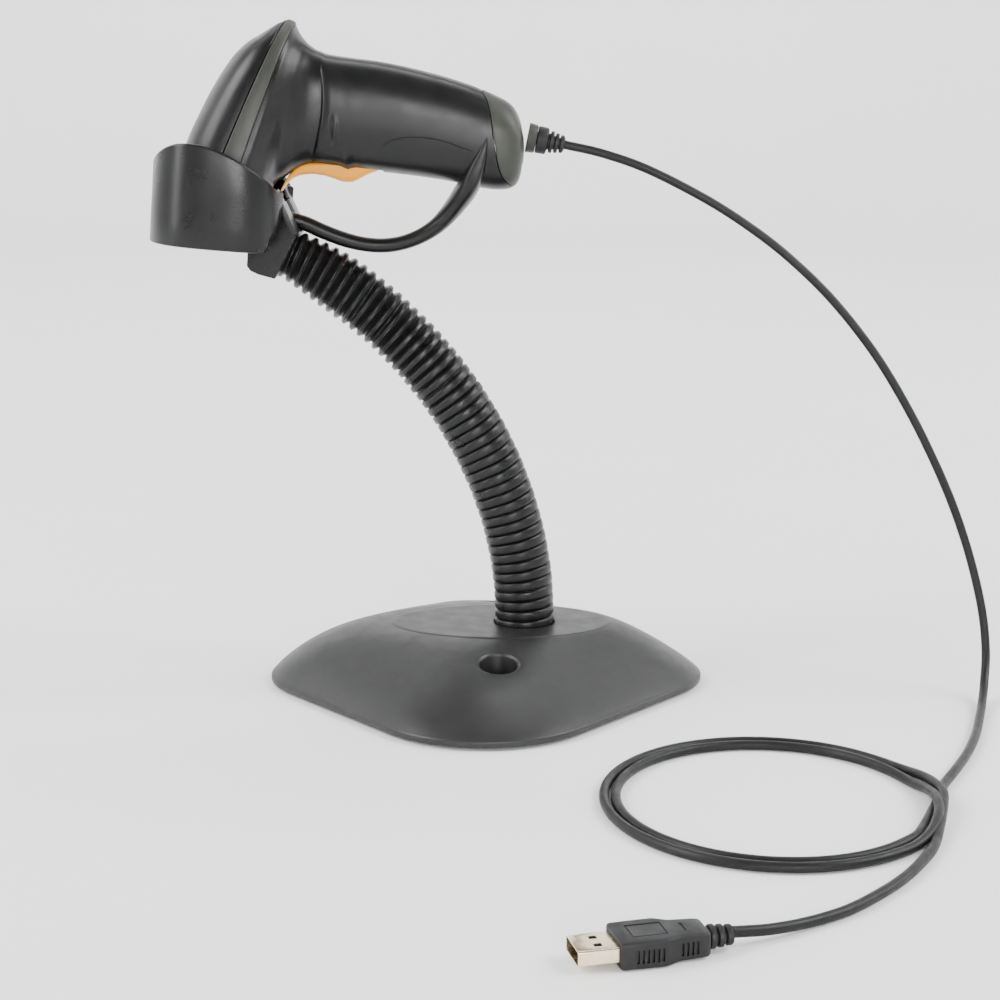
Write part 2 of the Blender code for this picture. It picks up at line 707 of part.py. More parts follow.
def make_band():
    stations = HEAD_STATIONS[::-1]
    path = [(s, -between(s, HEAD_WIDTH)) for s in stations] + [(s, between(s, HEAD_WIDTH)) for s in stations[::-1]]
    rings = []
    for i, (s, y) in enumerate(path):
        before, after = path[max(i - 1, 0)], path[min(i + 1, len(path) - 1)]
        run = Vector((after[0] - before[0], after[1] - before[1])).normalized()
        inward = Vector((-run.y, run.x))
        if inward.x * (0.05 - s) + inward.y * (0 - y) < 0:
            inward = -inward
        half = band_half(s) - GAP / 2
        deep = (s + inward.x * SHELL, y + inward.y * SHELL)
        out = (s - inward.x * 0.0003, y - inward.y * 0.0003)
        rings.append([head_place(out[0], out[1], -half), head_place(out[0], out[1], half),
                      head_place(deep[0], deep[1], half), head_place(deep[0], deep[1], -half)])
    return trim_at_rim(loft("bumper_band", rings, OLIVE))


def lower_head(name, inset, collection=None):
    """The head's half below the bumper band, as a solid: the outside, or the hollow if inset."""
    rings = []
    for s in FALL_STATIONS:
        width, fall, start = between(s, HEAD_WIDTH), between(s, HEAD_FALL), band_half(s) + GAP / 2
        if inset:
            start = -0.004
        width = max(width - inset, 0.0004)
        fall = max(fall - inset, start + 0.0004, 0.0004)
        arc = arc_points(width, fall, start, -1, 16, s)
        rings.append([head_place(s, y, out) for y, out in arc])
    return loft(name, rings, BLACK_SATIN, collection)


HANDLE_STATIONS = (
    # x, top, foot, half width
    (-0.0700, 0.2460, 0.2075, 0.0168),
    (-0.0640, 0.2472, 0.2058, 0.0173),
    (-0.0550, 0.2464, 0.2047, 0.0172),
    (-0.0400, 0.2444, 0.2030, 0.0170),
    (-0.0250, 0.2413, 0.2012, 0.0168),
    (-0.0100, 0.2372, 0.1988, 0.0164),
    (-0.0020, 0.2343, 0.1970, 0.0160),
    (0.0050, 0.2312, 0.1962, 0.0156),
    (0.0090, 0.2288, 0.1968, 0.0150),
    (0.0120, 0.2262, 0.1985, 0.0140),
    (0.0138, 0.2235, 0.2015, 0.0125),
    (0.0145, 0.2205, 0.2050, 0.0105),
)


def handle_solid(name, inset, collection=None, sides=28):
    rings = []
    for x, top, foot, half in HANDLE_STATIONS:
        if inset and x > 0.0125:
            continue
        centre, tall = (top + foot) / 2, (top - foot) / 2 - inset
        ring = []
        for i in range(sides):
            angle = 2 * math.pi * i / sides
            c, s = math.cos(angle), math.sin(angle)
            power = 2 / 2.5
            y = (half - inset) * math.copysign(abs(c) ** power, c)
            z = tall * math.copysign(abs(s) ** power, s)
            ring.append(Vector((x, y, centre + z)))
        rings.append(ring)
    return loft(name, rings, BLACK_SATIN, collection)


def cap_region(name, offset, side):
    """A wedge on one side of the end cap's seam, moved by offset along X."""
    (top_x, top_z), (foot_x, foot_z) = CAP_TOP, CAP_FOOT
    lean = (foot_x - top_x) / (foot_z - top_z)
    high, low = 0.30, 0.15
    a = (top_x + (high - top_z) * lean + offset, high)
    b = (top_x + (low - top_z) * lean + offset, low)
    far = 0.2 * side
    return slab(name, [a, (far, high), (far, low), b], 0.06, None)


def make_housing():
    housing = lower_head("handle_housing", 0.0)
    boolean(housing, handle_solid("housing_handle", 0.0), "UNION")
    boolean(housing, lower_head("housing_head_hollow", SHELL))
    boolean(housing, handle_solid("housing_handle_hollow", SHELL))
    boolean(housing, cap_region("housing_end_cut", -GAP, 1))
    slot = [(-0.090, 0.185), (-0.090, 0.1995), (-0.0745, 0.2110), (-0.0400, 0.2110), (-0.0365, 0.185)]
    boolean(housing, slab("housing_trigger_slot", slot, TRIGGER_HALF_Y + 0.0006, None))
    x, z = TRIGGER_PIVOT
    seat = PIN_HALF_LENGTH + GAP
    boolean(housing, rod("housing_pin_seat", (x, -seat, z), (x, seat, z), PIN_RADIUS + GAP, None, 16))
    trim_at_rim(housing)
    return housing


def make_end_cap():
    cap = handle_solid("end_cap", 0.0)
    cap.data.materials.clear()
    cap.data.materials.append(OLIVE)
    boolean(cap, cap_region("cap_front_cut", 0.0, -1))
    boolean(cap, handle_solid("cap_hollow", 0.0026))
    way = handle_way()
    start = boot_start()
    bore = rod("cap_bore", start - way * 0.02, start + way * 0.01, 0.0036, None, 16)
    return boolean(cap, bore)


def handle_way():
    drop = math.radians(HANDLE_DROP)
    return Vector((math.cos(drop), 0, -math.sin(drop)))


def boot_start():
    return Vector((0.0160, 0, 0.2160))


def make_window():
    """Bezel, dark red window and its small tab at the head's mouth."""
    rise = RIM_LIFT + 0.0004
    shape = []
    for i in range(32):
        angle = 2 * math.pi * i / 32
        c, s = math.cos(angle), math.sin(angle)
        reach = 0.0105 if c > 0 else 0.0148
        along = 0.0010 + reach * math.copysign(abs(c) ** 0.83, c)
        shape.append((along, 0.0262 * math.copysign(abs(s) ** 0.83, s)))
    window = [[cradle_place(a * 0.93, rise + z, b * 0.93) for a, b in shape] for z in (0.0012, 0.0026)]
    loft("scan_window", window, RED_WINDOW)
    rings = [[cradle_place(a, rise + z, b) for a, b in shape] for z in (0.0029, 0.0044)]
    bezel = loft("window_bezel", rings, BLACK_MATT)
    boolean(bezel, block("bezel_hole", (0.016, 0.040, 0.02), cradle_matrix(-0.001, 0.004), None))


def cradle_matrix(along, rise, y=0.0):
    return Matrix.Translation(cradle_place(along, rise, y)) @ Matrix.Rotation(math.radians(CRADLE_TILT), 4, "Y")


# ---------------------------------------------------------------- trigger, guard and switch
def make_trigger():
    outline = (
        (-0.0779, 0.1959), (-0.0762, 0.1984), (-0.0735, 0.2006), (-0.0700, 0.2018), (-0.0660, 0.2021),
        (-0.0620, 0.2016), (-0.0575, 0.2002), (-0.0545, 0.1992), (-0.0515, 0.1990), (-0.0485, 0.2002),
        (-0.0450, 0.2020), (-0.0412, 0.2034), (-0.0412, 0.2092), (-0.0470, 0.2098), (-0.0560, 0.2082),
        (-0.0700, 0.2072), (-0.0735, 0.2052), (-0.0765, 0.2012), (-0.0785, 0.1975),
    )
    trigger = slab("trigger", outline, TRIGGER_HALF_Y, AMBER, 0.0011)
    x, z = TRIGGER_PIVOT
    hole = rod("trigger_hole", (x, -0.01, z), (x, 0.01, z), PIN_RADIUS + 0.00008, None, 16)
    boolean(trigger, hole)
    rod("trigger_pin", (x, -PIN_HALF_LENGTH, z), (x, PIN_HALF_LENGTH, z), PIN_RADIUS, STEEL, 16)
    spring_x, low, high = -0.0600, 0.2086, 0.2132
    spring = turned_ring_stack(low, high)
    turned("trigger_spring", spring, Matrix.Translation((spring_x, 0, 0)), STEEL, 12)


def turned_ring_stack(low, high):
    """The outline of a short compression spring: a ribbed sleeve of its outer size."""
    coils, wire, radius = 4, 0.0004, 0.0019
    profile = []
    for i in range(coils * 2 + 1):
        z = high - (high - low) * i / (coils * 2)
        profile.append((radius if i % 2 else radius - wire, z))
    inner = radius - 2 * wire
    return (inner, high), *profile, (inner, low), (inner, high)


def make_guard():
    """The finger guard: a round bar from the head's foot to the handle's end, with a flat leaf at its root."""
    route = (
        (-0.0848, 0, 0.1872), (-0.0780, 0, 0.1856), (-0.0700, 0, 0.1834), (-0.0630, 0, 0.1803),
        (-0.0560, 0, 0.1776), (-0.0486, 0, 0.1756), (-0.0408, 0, 0.1748), (-0.0331, 0, 0.1756),
        (-0.0254, 0, 0.1783), (-0.0215, 0, 0.1806), (-0.0175, 0, 0.1840), (-0.0137, 0, 0.1884),
        (-0.0108, 0, 0.1930),
    )
    bar = tube("trigger_guard", smooth_curve(route, 0.006), GUARD_RADIUS, BLACK_SATIN, 2, mesh=True)
    leaf = ((-0.0160, 0.1905), (-0.0142, 0.1952), (-0.0066, 0.1943), (-0.0090, 0.1912), (-0.0118, 0.1880))
    boolean(bar, slab("guard_leaf", leaf, 0.0072, None), "UNION")
    return bar


def make_switch():
    x, low = -0.0690, 0.2082
    block("switch_plunger", (0.0030, 0.0030, 0.0034), Matrix.Translation((x, 0, low + 0.0017)), AMBER)
    shell = block("switch_body", (0.0062, 0.0062, 0.0036), Matrix.Translation((x, 0, low + 0.0044)), BLACK_MATT)
    boolean(shell, block("switch_well", (0.0034, 0.0034, 0.005), Matrix.Translation((x, 0, low + 0.0032)), None))


# ---------------------------------------------------------------- inside the scanner
def engine_matrix(along=0.0, rise=0.0, y=0.0):
    """Places in the scan engine's frame, which leans with the head above the window."""
    place = head_place(0.067 - rise, y, 0.0012 - along)
    return Matrix.Translation(place) @ Matrix.Rotation(math.radians(HEAD_LEAN), 4, "Y")


def make_engine():
    block("engine_chassis", (0.0220, 0.0360, 0.0020), engine_matrix(0, 0.0160), CAST, 0.0004)
    mirror = (-0.0052, 0.0030)
    rod("mirror_post", engine_matrix(mirror[0], 0.0078, mirror[1]).translation,
        engine_matrix(mirror[0], 0.0147, mirror[1]).translation, 0.0010, STEEL, 12)
    block("scan_mirror", (0.0012, 0.0120, 0.0085), engine_matrix(mirror[0], 0.0032, mirror[1]), MIRROR)
    block("mirror_magnet", (0.0026, 0.0050, 0.0030), engine_matrix(mirror[0] - 0.0023, 0.0032, mirror[1]), STEEL)
    winding = ((0.0016, 0.0025), (0.0040, 0.0025), (0.0040, -0.0025), (0.0016, -0.0025), (0.0016, 0.0025))
    turned("drive_coil", winding, engine_matrix(-0.0108, 0.0118, mirror[1]), COPPER, 16)
    rod("laser_module", engine_matrix(0.0070, 0.0105, -0.0160).translation,
        engine_matrix(0.0070, 0.0105, -0.0040).translation, 0.0034, BRASS, 16)
    block("collecting_mirror", (0.0016, 0.0150, 0.0120), engine_matrix(0.0095, 0.0068, 0.0105), MIRROR)
    block("photodiode", (0.0034, 0.0050, 0.0040), engine_matrix(0.0015, 0.0120, 0.0140), BLACK_MATT)


def board_matrix(along, up=0.0, y=0.0):
    turn = Matrix.Rotation(math.radians(HANDLE_DROP), 4, "Y")
    return Matrix.Translation((-0.0400, y, 0.2245)) @ turn @ Matrix.Translation((along, 0, up))


def make_electronics():
    block("main_board", (0.0560, 0.0260, 0.0014), board_matrix(0.0), GREEN)
    block("decoder_chip", (0.0100, 0.0100, 0.0014), board_matrix(-0.0060, 0.0017), BLACK_MATT)
    drum("beeper", 0.0055, 0.0050, board_matrix(0.0120, 0.0035), BLACK_MATT, 20)
    block("status_light", (0.0030, 0.0050, 0.0024), board_matrix(-0.0240, 0.0022), LIGHT)
    rod("board_post", board_matrix(-0.0200, -0.0011).translation, board_matrix(-0.0200, -0.0080).translation,
        0.0020, BLACK_MATT, 12)


def make_cord_entry():
    """The jack and its plug in the handle's end, the collar, and the ribbed boot that the lead leaves."""
    way, start = handle_way(), boot_start()
    turn = way.to_track_quat("Z", "Y").to_matrix().to_4x4()

    def placed(along):
        return Matrix.Translation(start + way * along) @ turn

    jack = block("cord_jack", (0.0125, 0.0140, 0.0130), placed(-0.0195), BLACK_MATT)
    boolean(jack, block("jack_mouth", (0.0090, 0.0104, 0.0150), placed(-0.0160), None))
    block("cord_inner_plug", (0.0080, 0.0096, 0.0100), placed(-0.0150), CLEAR, 0.0004)
    collar = ((0.0022, 0.0036), (0.0056, 0.0036), (0.0058, 0.0002), (0.0022, 0.0002), (0.0022, 0.0036))
    turned("cord_collar", collar, placed(0.0), OLIVE, 20)
    boot = [(0.0, 0.0143), (0.0026, 0.0143)]
    for i, radius in enumerate((0.0034, 0.0039, 0.0044)):
        high = 0.0141 - 0.0020 * i
        boot += [(radius, high - 0.0003), (radius, high - 0.0013), (radius - 0.0009, high - 0.0016)]
    boot += [(0.0050, 0.0076), (0.0052, 0.0072), (0.0052, 0.0039), (0.0, 0.0039)]
    turned("cord_boot", boot, placed(0.0), BLACK_RUBBER, 20)


def make_case_screws():
    _, square = head_ways()
    seat = head_place(0.030, 0.0, 0.0)
    for number, side in enumerate((-1, 1)):
        make_screw(f"case_screw_{number + 1}", seat + Y_AXIS * side * 0.0185 - square * 0.0070, -square, 0.0022, 0.006)


# ---------------------------------------------------------------- lead
def coil_ring(z, inset, sides=48):
    ring = []
    for i in range(sides):
        angle = 2 * math.pi * i / sides
        ring.append(Vector((COIL_CENTRE[0] + (COIL_HALF_X - inset) * math.cos(angle),
                            COIL_CENTRE[1] + (COIL_HALF_Y - inset) * math.sin(angle), z)))
    return ring


def make_cord():
    radius = CORD_DIAMETER / 2
    spacing = 2.6 * CORD_DIAMETER
    bow = smooth_curve(BOW_ROUTE, spacing)
    floor = smooth_curve(FLOOR_ROUTE, spacing)
    tail = smooth_curve(TAIL_ROUTE, spacing)
    floor[0] = floor[0] + (floor[1] - floor[0]).normalized() * 0.0006
    tube("cord_bow", bow, radius, CORD_BLACK)
    tube("cord_floor_lead", floor, radius, CORD_BLACK)
    tube("cord_tail", tail, radius, CORD_BLACK)
    wide = 2 * CORD_DIAMETER + 0.0006
    low, high = 0.0001, 0.0001 + CORD_DIAMETER
    rings = [coil_ring(low, 0), coil_ring(high, 0), coil_ring(high, wide), coil_ring(low, wide)]
    loft("cord_coil", rings, CORD_BLACK, looped=True)


def plug_matrix(along, rise=0.0, y=0.0):
    yaw = Matrix.Rotation(math.radians(PLUG_YAW), 4, "Z")
    return Matrix.Translation((*PLUG_MOUTH, PLUG_Z)) @ yaw @ Matrix.Translation((along, y, rise))


def make_plug():
    length, width, height = PLUG_SHELL
    shell = block("plug_shell", PLUG_SHELL, plug_matrix(length / 2), PLUG_METAL, 0.0003)
    boolean(shell, block("shell_bore", (length + 0.01, width - 0.0008, height - 0.0008), plug_matrix(length / 2), None))
    block("plug_tongue", (0.0095, 0.0110, 0.0017), plug_matrix(0.0095 / 2 + 0.0020, 0.0008), BLACK_MATT)
    stations = ((0.0121, 0.0078, 0.0040), (0.0135, 0.0082, 0.0041), (0.0190, 0.0080, 0.0040), (0.0260, 0.0066, 0.0037),
                (0.0330, 0.0056, 0.0034), (0.0372, 0.0048, 0.0031), (0.0385, 0.0040, 0.0028))
    rings = []
    for x, half_y, half_z in stations:
        ring = []
        for i in range(20):
            angle = 2 * math.pi * i / 20
            c, s = math.cos(angle), math.sin(angle)
            y = half_y * math.copysign(abs(c) ** 0.55, c)
            z = half_z * math.copysign(abs(s) ** 0.55, s)
            ring.append(plug_matrix(x, z, y).translation)
        rings.append(ring)
    loft("plug_body", rings, BLACK_RUBBER)
    relief = [(0.0, 0.0463), (0.0024, 0.0463)]
    for i in range(3):
        high = 0.0458 - 0.0024 * i
        size = 0.0024 + 0.0003 * i
        relief += [(size, high), (size, high - 0.0013), (size - 0.0005, high - 0.0016)]
    relief += [(0.0026, 0.0388), (0.0, 0.0388)]
    turn = plug_matrix(0) @ Matrix.Rotation(math.radians(90), 4, "Y")
    turned("plug_relief", relief, turn, BLACK_RUBBER, 16)


# ---------------------------------------------------------------- the whole part
clear_scene()
PARTS = make_collection("barcode_scanner")
CUTTERS = make_collection("cutters")
BLACK_SATIN = material("black_satin", (0.030, 0.030, 0.031), 0.38)
BLACK_MATT = material("black_matt", (0.022, 0.022, 0.023), 0.6)
CONDUIT = material("conduit_black", (0.020, 0.020, 0.021), 0.34)
BLACK_RUBBER = material("black_rubber", (0.034, 0.034, 0.036), 0.55)
CORD_BLACK = material("cord_black", (0.030, 0.030, 0.032), 0.5)
OLIVE = material("olive_grey", (0.115, 0.120, 0.100), 0.45)
AMBER = material("amber", (0.90, 0.48, 0.055), 0.36)
RUBBER = material("pad_rubber", (0.045, 0.045, 0.045), 0.85)
STEEL = material("steel", (0.56, 0.56, 0.57), 0.3, 1.0)
IRON = material("iron", (0.20, 0.20, 0.21), 0.55, 1.0)
CAST = material("engine_metal", (0.50, 0.51, 0.53), 0.4, 1.0)
MIRROR = material("mirror_glass", (0.86, 0.88, 0.90), 0.05, 1.0)
COPPER = material("coil_copper", (0.80, 0.42, 0.25), 0.35, 1.0)
BRASS = material("laser_brass", (0.78, 0.60, 0.30), 0.3, 1.0)
PLUG_METAL = material("plug_metal", (0.72, 0.68, 0.60), 0.28, 1.0)
GREEN = material("board_green", (0.03, 0.20, 0.09), 0.5)
RED_WINDOW = material("red_window", (0.22, 0.01, 0.01), 0.08)
LIGHT = material("light_pipe", (0.85, 0.88, 0.84), 0.25)
CLEAR = material("clear_plastic", (0.72, 0.74, 0.74), 0.2)

make_base()
make_neck()
make_cup()
make_bracket()
make_top_cover()
make_band()
make_housing()
make_end_cap()
make_window()
make_trigger()
make_guard()
make_switch()
make_engine()
make_electronics()
make_cord_entry()
make_case_screws()
make_cord()
make_plug()
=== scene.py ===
"""The looks of a handheld barcode scanner in its gooseneck stand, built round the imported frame.

Metres, in the frame of the CAD part: +Z up, X along the scanner, Y towards the back, the counter at z = 0.
"""

import math

import bmesh
import bpy
from mathutils import Matrix, Vector


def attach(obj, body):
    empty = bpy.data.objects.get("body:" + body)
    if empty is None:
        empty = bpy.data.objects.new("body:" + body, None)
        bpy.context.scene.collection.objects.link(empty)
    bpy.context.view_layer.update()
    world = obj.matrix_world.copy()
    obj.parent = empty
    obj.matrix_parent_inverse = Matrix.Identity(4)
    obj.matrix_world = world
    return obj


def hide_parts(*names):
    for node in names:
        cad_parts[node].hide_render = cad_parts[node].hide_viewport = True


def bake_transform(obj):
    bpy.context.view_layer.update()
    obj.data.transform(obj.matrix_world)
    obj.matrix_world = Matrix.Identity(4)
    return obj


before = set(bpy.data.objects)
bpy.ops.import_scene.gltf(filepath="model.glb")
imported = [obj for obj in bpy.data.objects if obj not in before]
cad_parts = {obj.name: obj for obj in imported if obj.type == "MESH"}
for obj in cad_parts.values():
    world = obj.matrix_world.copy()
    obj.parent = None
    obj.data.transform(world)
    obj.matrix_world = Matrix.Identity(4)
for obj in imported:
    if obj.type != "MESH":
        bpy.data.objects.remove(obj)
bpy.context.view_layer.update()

Y_AXIS = Vector((0, 1, 0))
Z_AXIS = Vector((0, 0, 1))

# ---------------------------------------------------------------- sizes shared with the CAD part
BASE_HALF_X, BASE_HALF_Y = 0.096, 0.115
BASE_SIDE_RADIUS, BASE_FRONT_RADIUS = 0.033, 0.046
BASE_LIP, BASE_FOOT, BASE_WALL = 0.0040, 0.0013, 0.0024
PLATFORM_X, PLATFORM_HALF_X, PLATFORM_HALF_Y, PLATFORM_Z = 0.006, 0.0443, 0.0260, 0.0245
SLOPE_POWER, SLOPE_CROWN, SLOPE_SWING, SLOPE_DROP = 0.9, 1.88, 0.52, 0.12
WELL_X, WELL_Y, WELL_RADIUS = 0.005, 0.046, 0.0072

NECK_X, NECK_LENGTH, NECK_RADIUS, NECK_TOP_RADIUS, NECK_TAPER = 0.0153, 0.182, 0.0116, 0.0097, 0.020
NECK_FOOT_LEAN, NECK_TOP_LEAN, NECK_LEAN_POWER = -2.0, 62.0, 0.9
NECK_CUTS = (0.034, 0.072, 0.110, 0.148)
RIB_PITCH = 0.00405

CRADLE_TILT, CRADLE_X, CRADLE_Z = 4.8, -0.1075, 0.1762
CUP_FRONT, CUP_REAR, CUP_HALF_Y, CUP_WALL, CUP_MIDDLE, CUP_LEDGE = 0.0210, 0.0312, 0.0352, 0.0024, 0.0060, 0.0016
RIM_LIFT = 0.0021
SPRING_X, SPRING_FOOT, SPRING_HEAD = -0.0600, 0.2086, 0.2132

HEAD_TIP, HEAD_LEAN = Vector((-0.0735, 0, 0.2585)), 21.8
SHELL = 0.0021
HANDLE_DROP = 11.0
BOOT_START = Vector((0.0160, 0, 0.2160))
TRIGGER_HALF_Y = 0.0062

CORD_DIAMETER = 0.0034
COIL_CENTRE, COIL_HALF_X, COIL_HALF_Y = (0.0963, -0.1433), 0.0574, 0.0616
PLUG_MOUTH, PLUG_YAW, PLUG_Z = (0.0252, -0.2685), 14.0, 0.0042
PLUG_SHELL = (0.0118, 0.0120, 0.0045)


# ---------------------------------------------------------------- mesh helpers
def mesh_piece(name, points, faces, finish, angle=40):
    """A smooth-shaded mesh object, its doubled points welded and its faces turned outwards."""
    mesh = bpy.data.meshes.new(name)
    mesh.from_pydata([tuple(p) for p in points], [], faces)
    mesh.validate()
    work = bmesh.new()
    work.from_mesh(mesh)
    bmesh.ops.remove_doubles(work, verts=work.verts, dist=1e-7)
    bmesh.ops.recalc_face_normals(work, faces=work.faces)
    work.to_mesh(mesh)
    work.free()
    item = bpy.data.objects.new(name, mesh)
    bpy.context.scene.collection.objects.link(item)
    if finish is not None:
        mesh.materials.append(finish)
    mesh.shade_smooth()
    mesh.set_sharp_from_angle(angle=math.radians(angle))
    return item


def loft(name, rings, finish, looped=False, caps=True, closed=True, angle=40):
    """A surface through rings of equally many points: capped, looped on itself, or of open rings."""
    count = len(rings[0])
    faces = []
    for i in range(len(rings) if looped else len(rings) - 1):
        low, high = i * count, (i + 1) % len(rings) * count
        for j in range(count if closed else count - 1):
            k = (j + 1) % count
            faces.append((low + j, low + k, high + k, high + j))
    if caps and closed and not looped:
        faces.append(tuple(reversed(range(count))))
        faces.append(tuple(range((len(rings) - 1) * count, len(rings) * count)))
    return mesh_piece(name, [p for ring in rings for p in ring], faces, finish, angle)


def settle(item, angle=40):
    """Puts a piece's modifiers into its mesh."""
    bpy.context.view_layer.update()
    graph = bpy.context.evaluated_depsgraph_get()
    mesh = bpy.data.meshes.new_from_object(item.evaluated_get(graph))
    item.modifiers.clear()
    item.data = mesh
    mesh.shade_smooth()
    mesh.set_sharp_from_angle(angle=math.radians(angle))
    return item


def change(item, cutter, operation="DIFFERENCE", angle=40):
    """Cuts a piece with another, or joins them, and removes the other."""
    step = item.modifiers.new("Boolean", "BOOLEAN")
    step.operation = operation
    step.solver = "MANIFOLD"
    step.object = cutter
    settle(item, angle)
    bpy.data.objects.remove(cutter, do_unlink=True)
    return item


def bevelled(item, width, segments=3, limit=35):
    bevel = item.modifiers.new("Bevel", "BEVEL")
    bevel.width = width
    bevel.segments = segments
    bevel.limit_method = "ANGLE"
    bevel.angle_limit = math.radians(limit)
    return settle(item)


def block(name, size, matrix, finish, bevel=0.0, segments=3):
    work = bmesh.new()
    bmesh.ops.create_cube(work, size=1.0)
    bmesh.ops.scale(work, vec=size, verts=work.verts)
    bmesh.ops.transform(work, matrix=matrix, verts=work.verts)
    points = [v.co.copy() for v in work.verts]
    faces = [tuple(v.index for v in f.verts) for f in work.faces]
    work.free()
    item = mesh_piece(name, points, faces, finish)
    return bevelled(item, bevel, segments) if bevel else item


def turned(name, profile, matrix, finish, sides=64, angle=40):
    """A turned surface: profile is (radius, height) from its top down its outer side to its foot."""
    rings = []
    for radius, height in profile:
        turn = [2 * math.pi * i / sides for i in range(sides)]
        rings.append([matrix @ Vector((radius * math.cos(a), radius * math.sin(a), height)) for a in turn])
    return loft(name, rings, finish, caps=profile[0][0] > 1e-6, angle=angle)


def slab(name, outline, half_width):
    """A cutter: an upright outline of (x, z) points, half_width thick to both sides of y = 0."""
    sides = [[Vector((x, y, z)) for x, z in outline] for y in (-half_width, half_width)]
    return loft(name, sides, None)


def along(table, value):
    """The value read smoothly from a table of (station, value) pairs."""
    if value <= table[0][0]:
        return table[0][1]
    if value >= table[-1][0]:
        return table[-1][1]
    i = max(k for k in range(len(table) - 1) if table[k][0] <= value)

    def secant(k):
        k = min(max(k, 0), len(table) - 2)
        return (table[k + 1][1] - table[k][1]) / (table[k + 1][0] - table[k][0])

    def slope(k):
        before, after = secant(k - 1), secant(k)
        if before * after <= 0:
            return 0.0
        return 2 * before * after / (before + after)

    wide = table[i + 1][0] - table[i][0]
    t = (value - table[i][0]) / wide
    a, b = table[i][1], table[i + 1][1]
    m, n = slope(i) * wide, slope(i + 1) * wide
    return a + m * t + (3 * (b - a) - 2 * m - n) * t**2 + (2 * (a - b) + m + n) * t**3


def smooth_curve(points, spacing):
    """Points a spacing apart along a Catmull-Rom curve through the route points."""
    route = [Vector(p) for p in points]
    route = [2 * route[0] - route[1], *route, 2 * route[-1] - route[-2]]
    dense = []
    for a, b, c, d in zip(route, route[1:], route[2:], route[3:]):
        for step in range(16):
            t = step / 16
            dense.append(
                0.5 * (2 * b + (c - a) * t + (2 * a - 5 * b + 4 * c - d) * t**2 + (3 * b - a - 3 * c + d) * t**3)
            )
    dense.append(route[-2])
    length = path_length(dense)
    count = max(2, round(length / spacing))
    placed, travelled, target = [dense[0]], 0.0, length / count
    for a, b in zip(dense, dense[1:]):
        step = (b - a).length
        while travelled + step >= target - 1e-9 and len(placed) < count:
            placed.append(a.lerp(b, (target - travelled) / step))
            target += length / count
        travelled += step
    placed.append(dense[-1])
    return placed


def path_length(path):
    return sum((b - a).length for a, b in zip(path, path[1:]))


def rounded(c, s, power):
    """A superellipse's unit point at the angle whose cosine and sine are given."""
    return math.copysign(abs(c) ** (2 / power), c), math.copysign(abs(s) ** (2 / power), s)


def sweep(name, path, radius, finish, sides):
    """A round bar along path."""
    rings = []
    for i, place in enumerate(path):
        way = (path[min(i + 1, len(path) - 1)] - path[max(i - 1, 0)]).normalized()
        if i == 0:
            up = (Z_AXIS - way * way.z).normalized() if abs(way.z) < 0.9 else Vector((1, 0, 0))
        up = (up - way * up.dot(way)).normalized()
        side = way.cross(up)
        turn = [2 * math.pi * k / sides for k in range(sides)]
        rings.append([place + up * radius * math.cos(a) + side * radius * math.sin(a) for a in turn])
    return loft(name, rings, finish)


def belongs(item, body, slot, *nodes):
    """A piece rides on a body and stands for CAD nodes; the slot is not used."""
    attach(item, body)
    if nodes:
        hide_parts(*nodes)
    return item


# ---------------------------------------------------------------- finishes
def new_finish(name, metallic=0.0, **sockets):
    made = bpy.data.materials.new(name)
    made.use_nodes = True
    shader = made.node_tree.nodes["Principled BSDF"]
    shader.inputs["Metallic"].default_value = metallic
    for socket, value in sockets.items():
        shader.inputs[socket.replace("_", " ")].default_value = value
    return made, made.node_tree, shader


def speckle(tree, scale, detail=3.0, stretch=(1, 1, 1), turn=(0, 0, 0), coordinates="Object"):
    """Noise at scale per metre in the object's own coordinates, stretched along an axis where wanted."""
    place = tree.nodes.new("ShaderNodeTexCoord")
    mapping = tree.nodes.new("ShaderNodeMapping")
    mapping.inputs["Scale"].default_value = stretch
    mapping.inputs["Rotation"].default_value = turn
    noise = tree.nodes.new("ShaderNodeTexNoise")
    noise.inputs["Scale"].default_value = scale
    noise.inputs["Detail"].default_value = detail
    tree.links.new(place.outputs[coordinates], mapping.inputs["Vector"])
    tree.links.new(mapping.outputs["Vector"], noise.inputs["Vector"])
    return noise.outputs["Fac"]


def spread(tree, value, low, high, start=0.3, end=0.7):
    """Maps a pattern's range from start to end onto low to high."""
    made = tree.nodes.new("ShaderNodeMapRange")
    for socket, number in (("From Min", start), ("From Max", end), ("To Min", low), ("To Max", high)):
        made.inputs[socket].default_value = number
    tree.links.new(value, made.inputs["Value"])
    return made.outputs["Result"]


def blend_colours(tree, share, first, second):
    """A colour between two: each is a colour, or another blend's output."""
    made = tree.nodes.new("ShaderNodeMix")
    made.data_type = "RGBA"
    tree.links.new(share, made.inputs["Factor"])
    for socket, colour in ((made.inputs[6], first), (made.inputs[7], second)):
        if isinstance(colour, tuple):
            socket.default_value = (*colour, 1.0)
        else:
            tree.links.new(colour, socket)
    return made.outputs[2]


def clouded(tree, scale, detail, first, second):
    """Two colours mixed by a speckle of the given scale."""
    return blend_colours(tree, spread(tree, speckle(tree, scale, detail), 0, 1), first, second)


def add_numbers(tree, first, second, operation="ADD"):
    made = tree.nodes.new("ShaderNodeMath")
    made.operation = operation
    tree.links.new(first, made.inputs[0])
    tree.links.new(second, made.inputs[1])
    return made.outputs[0]


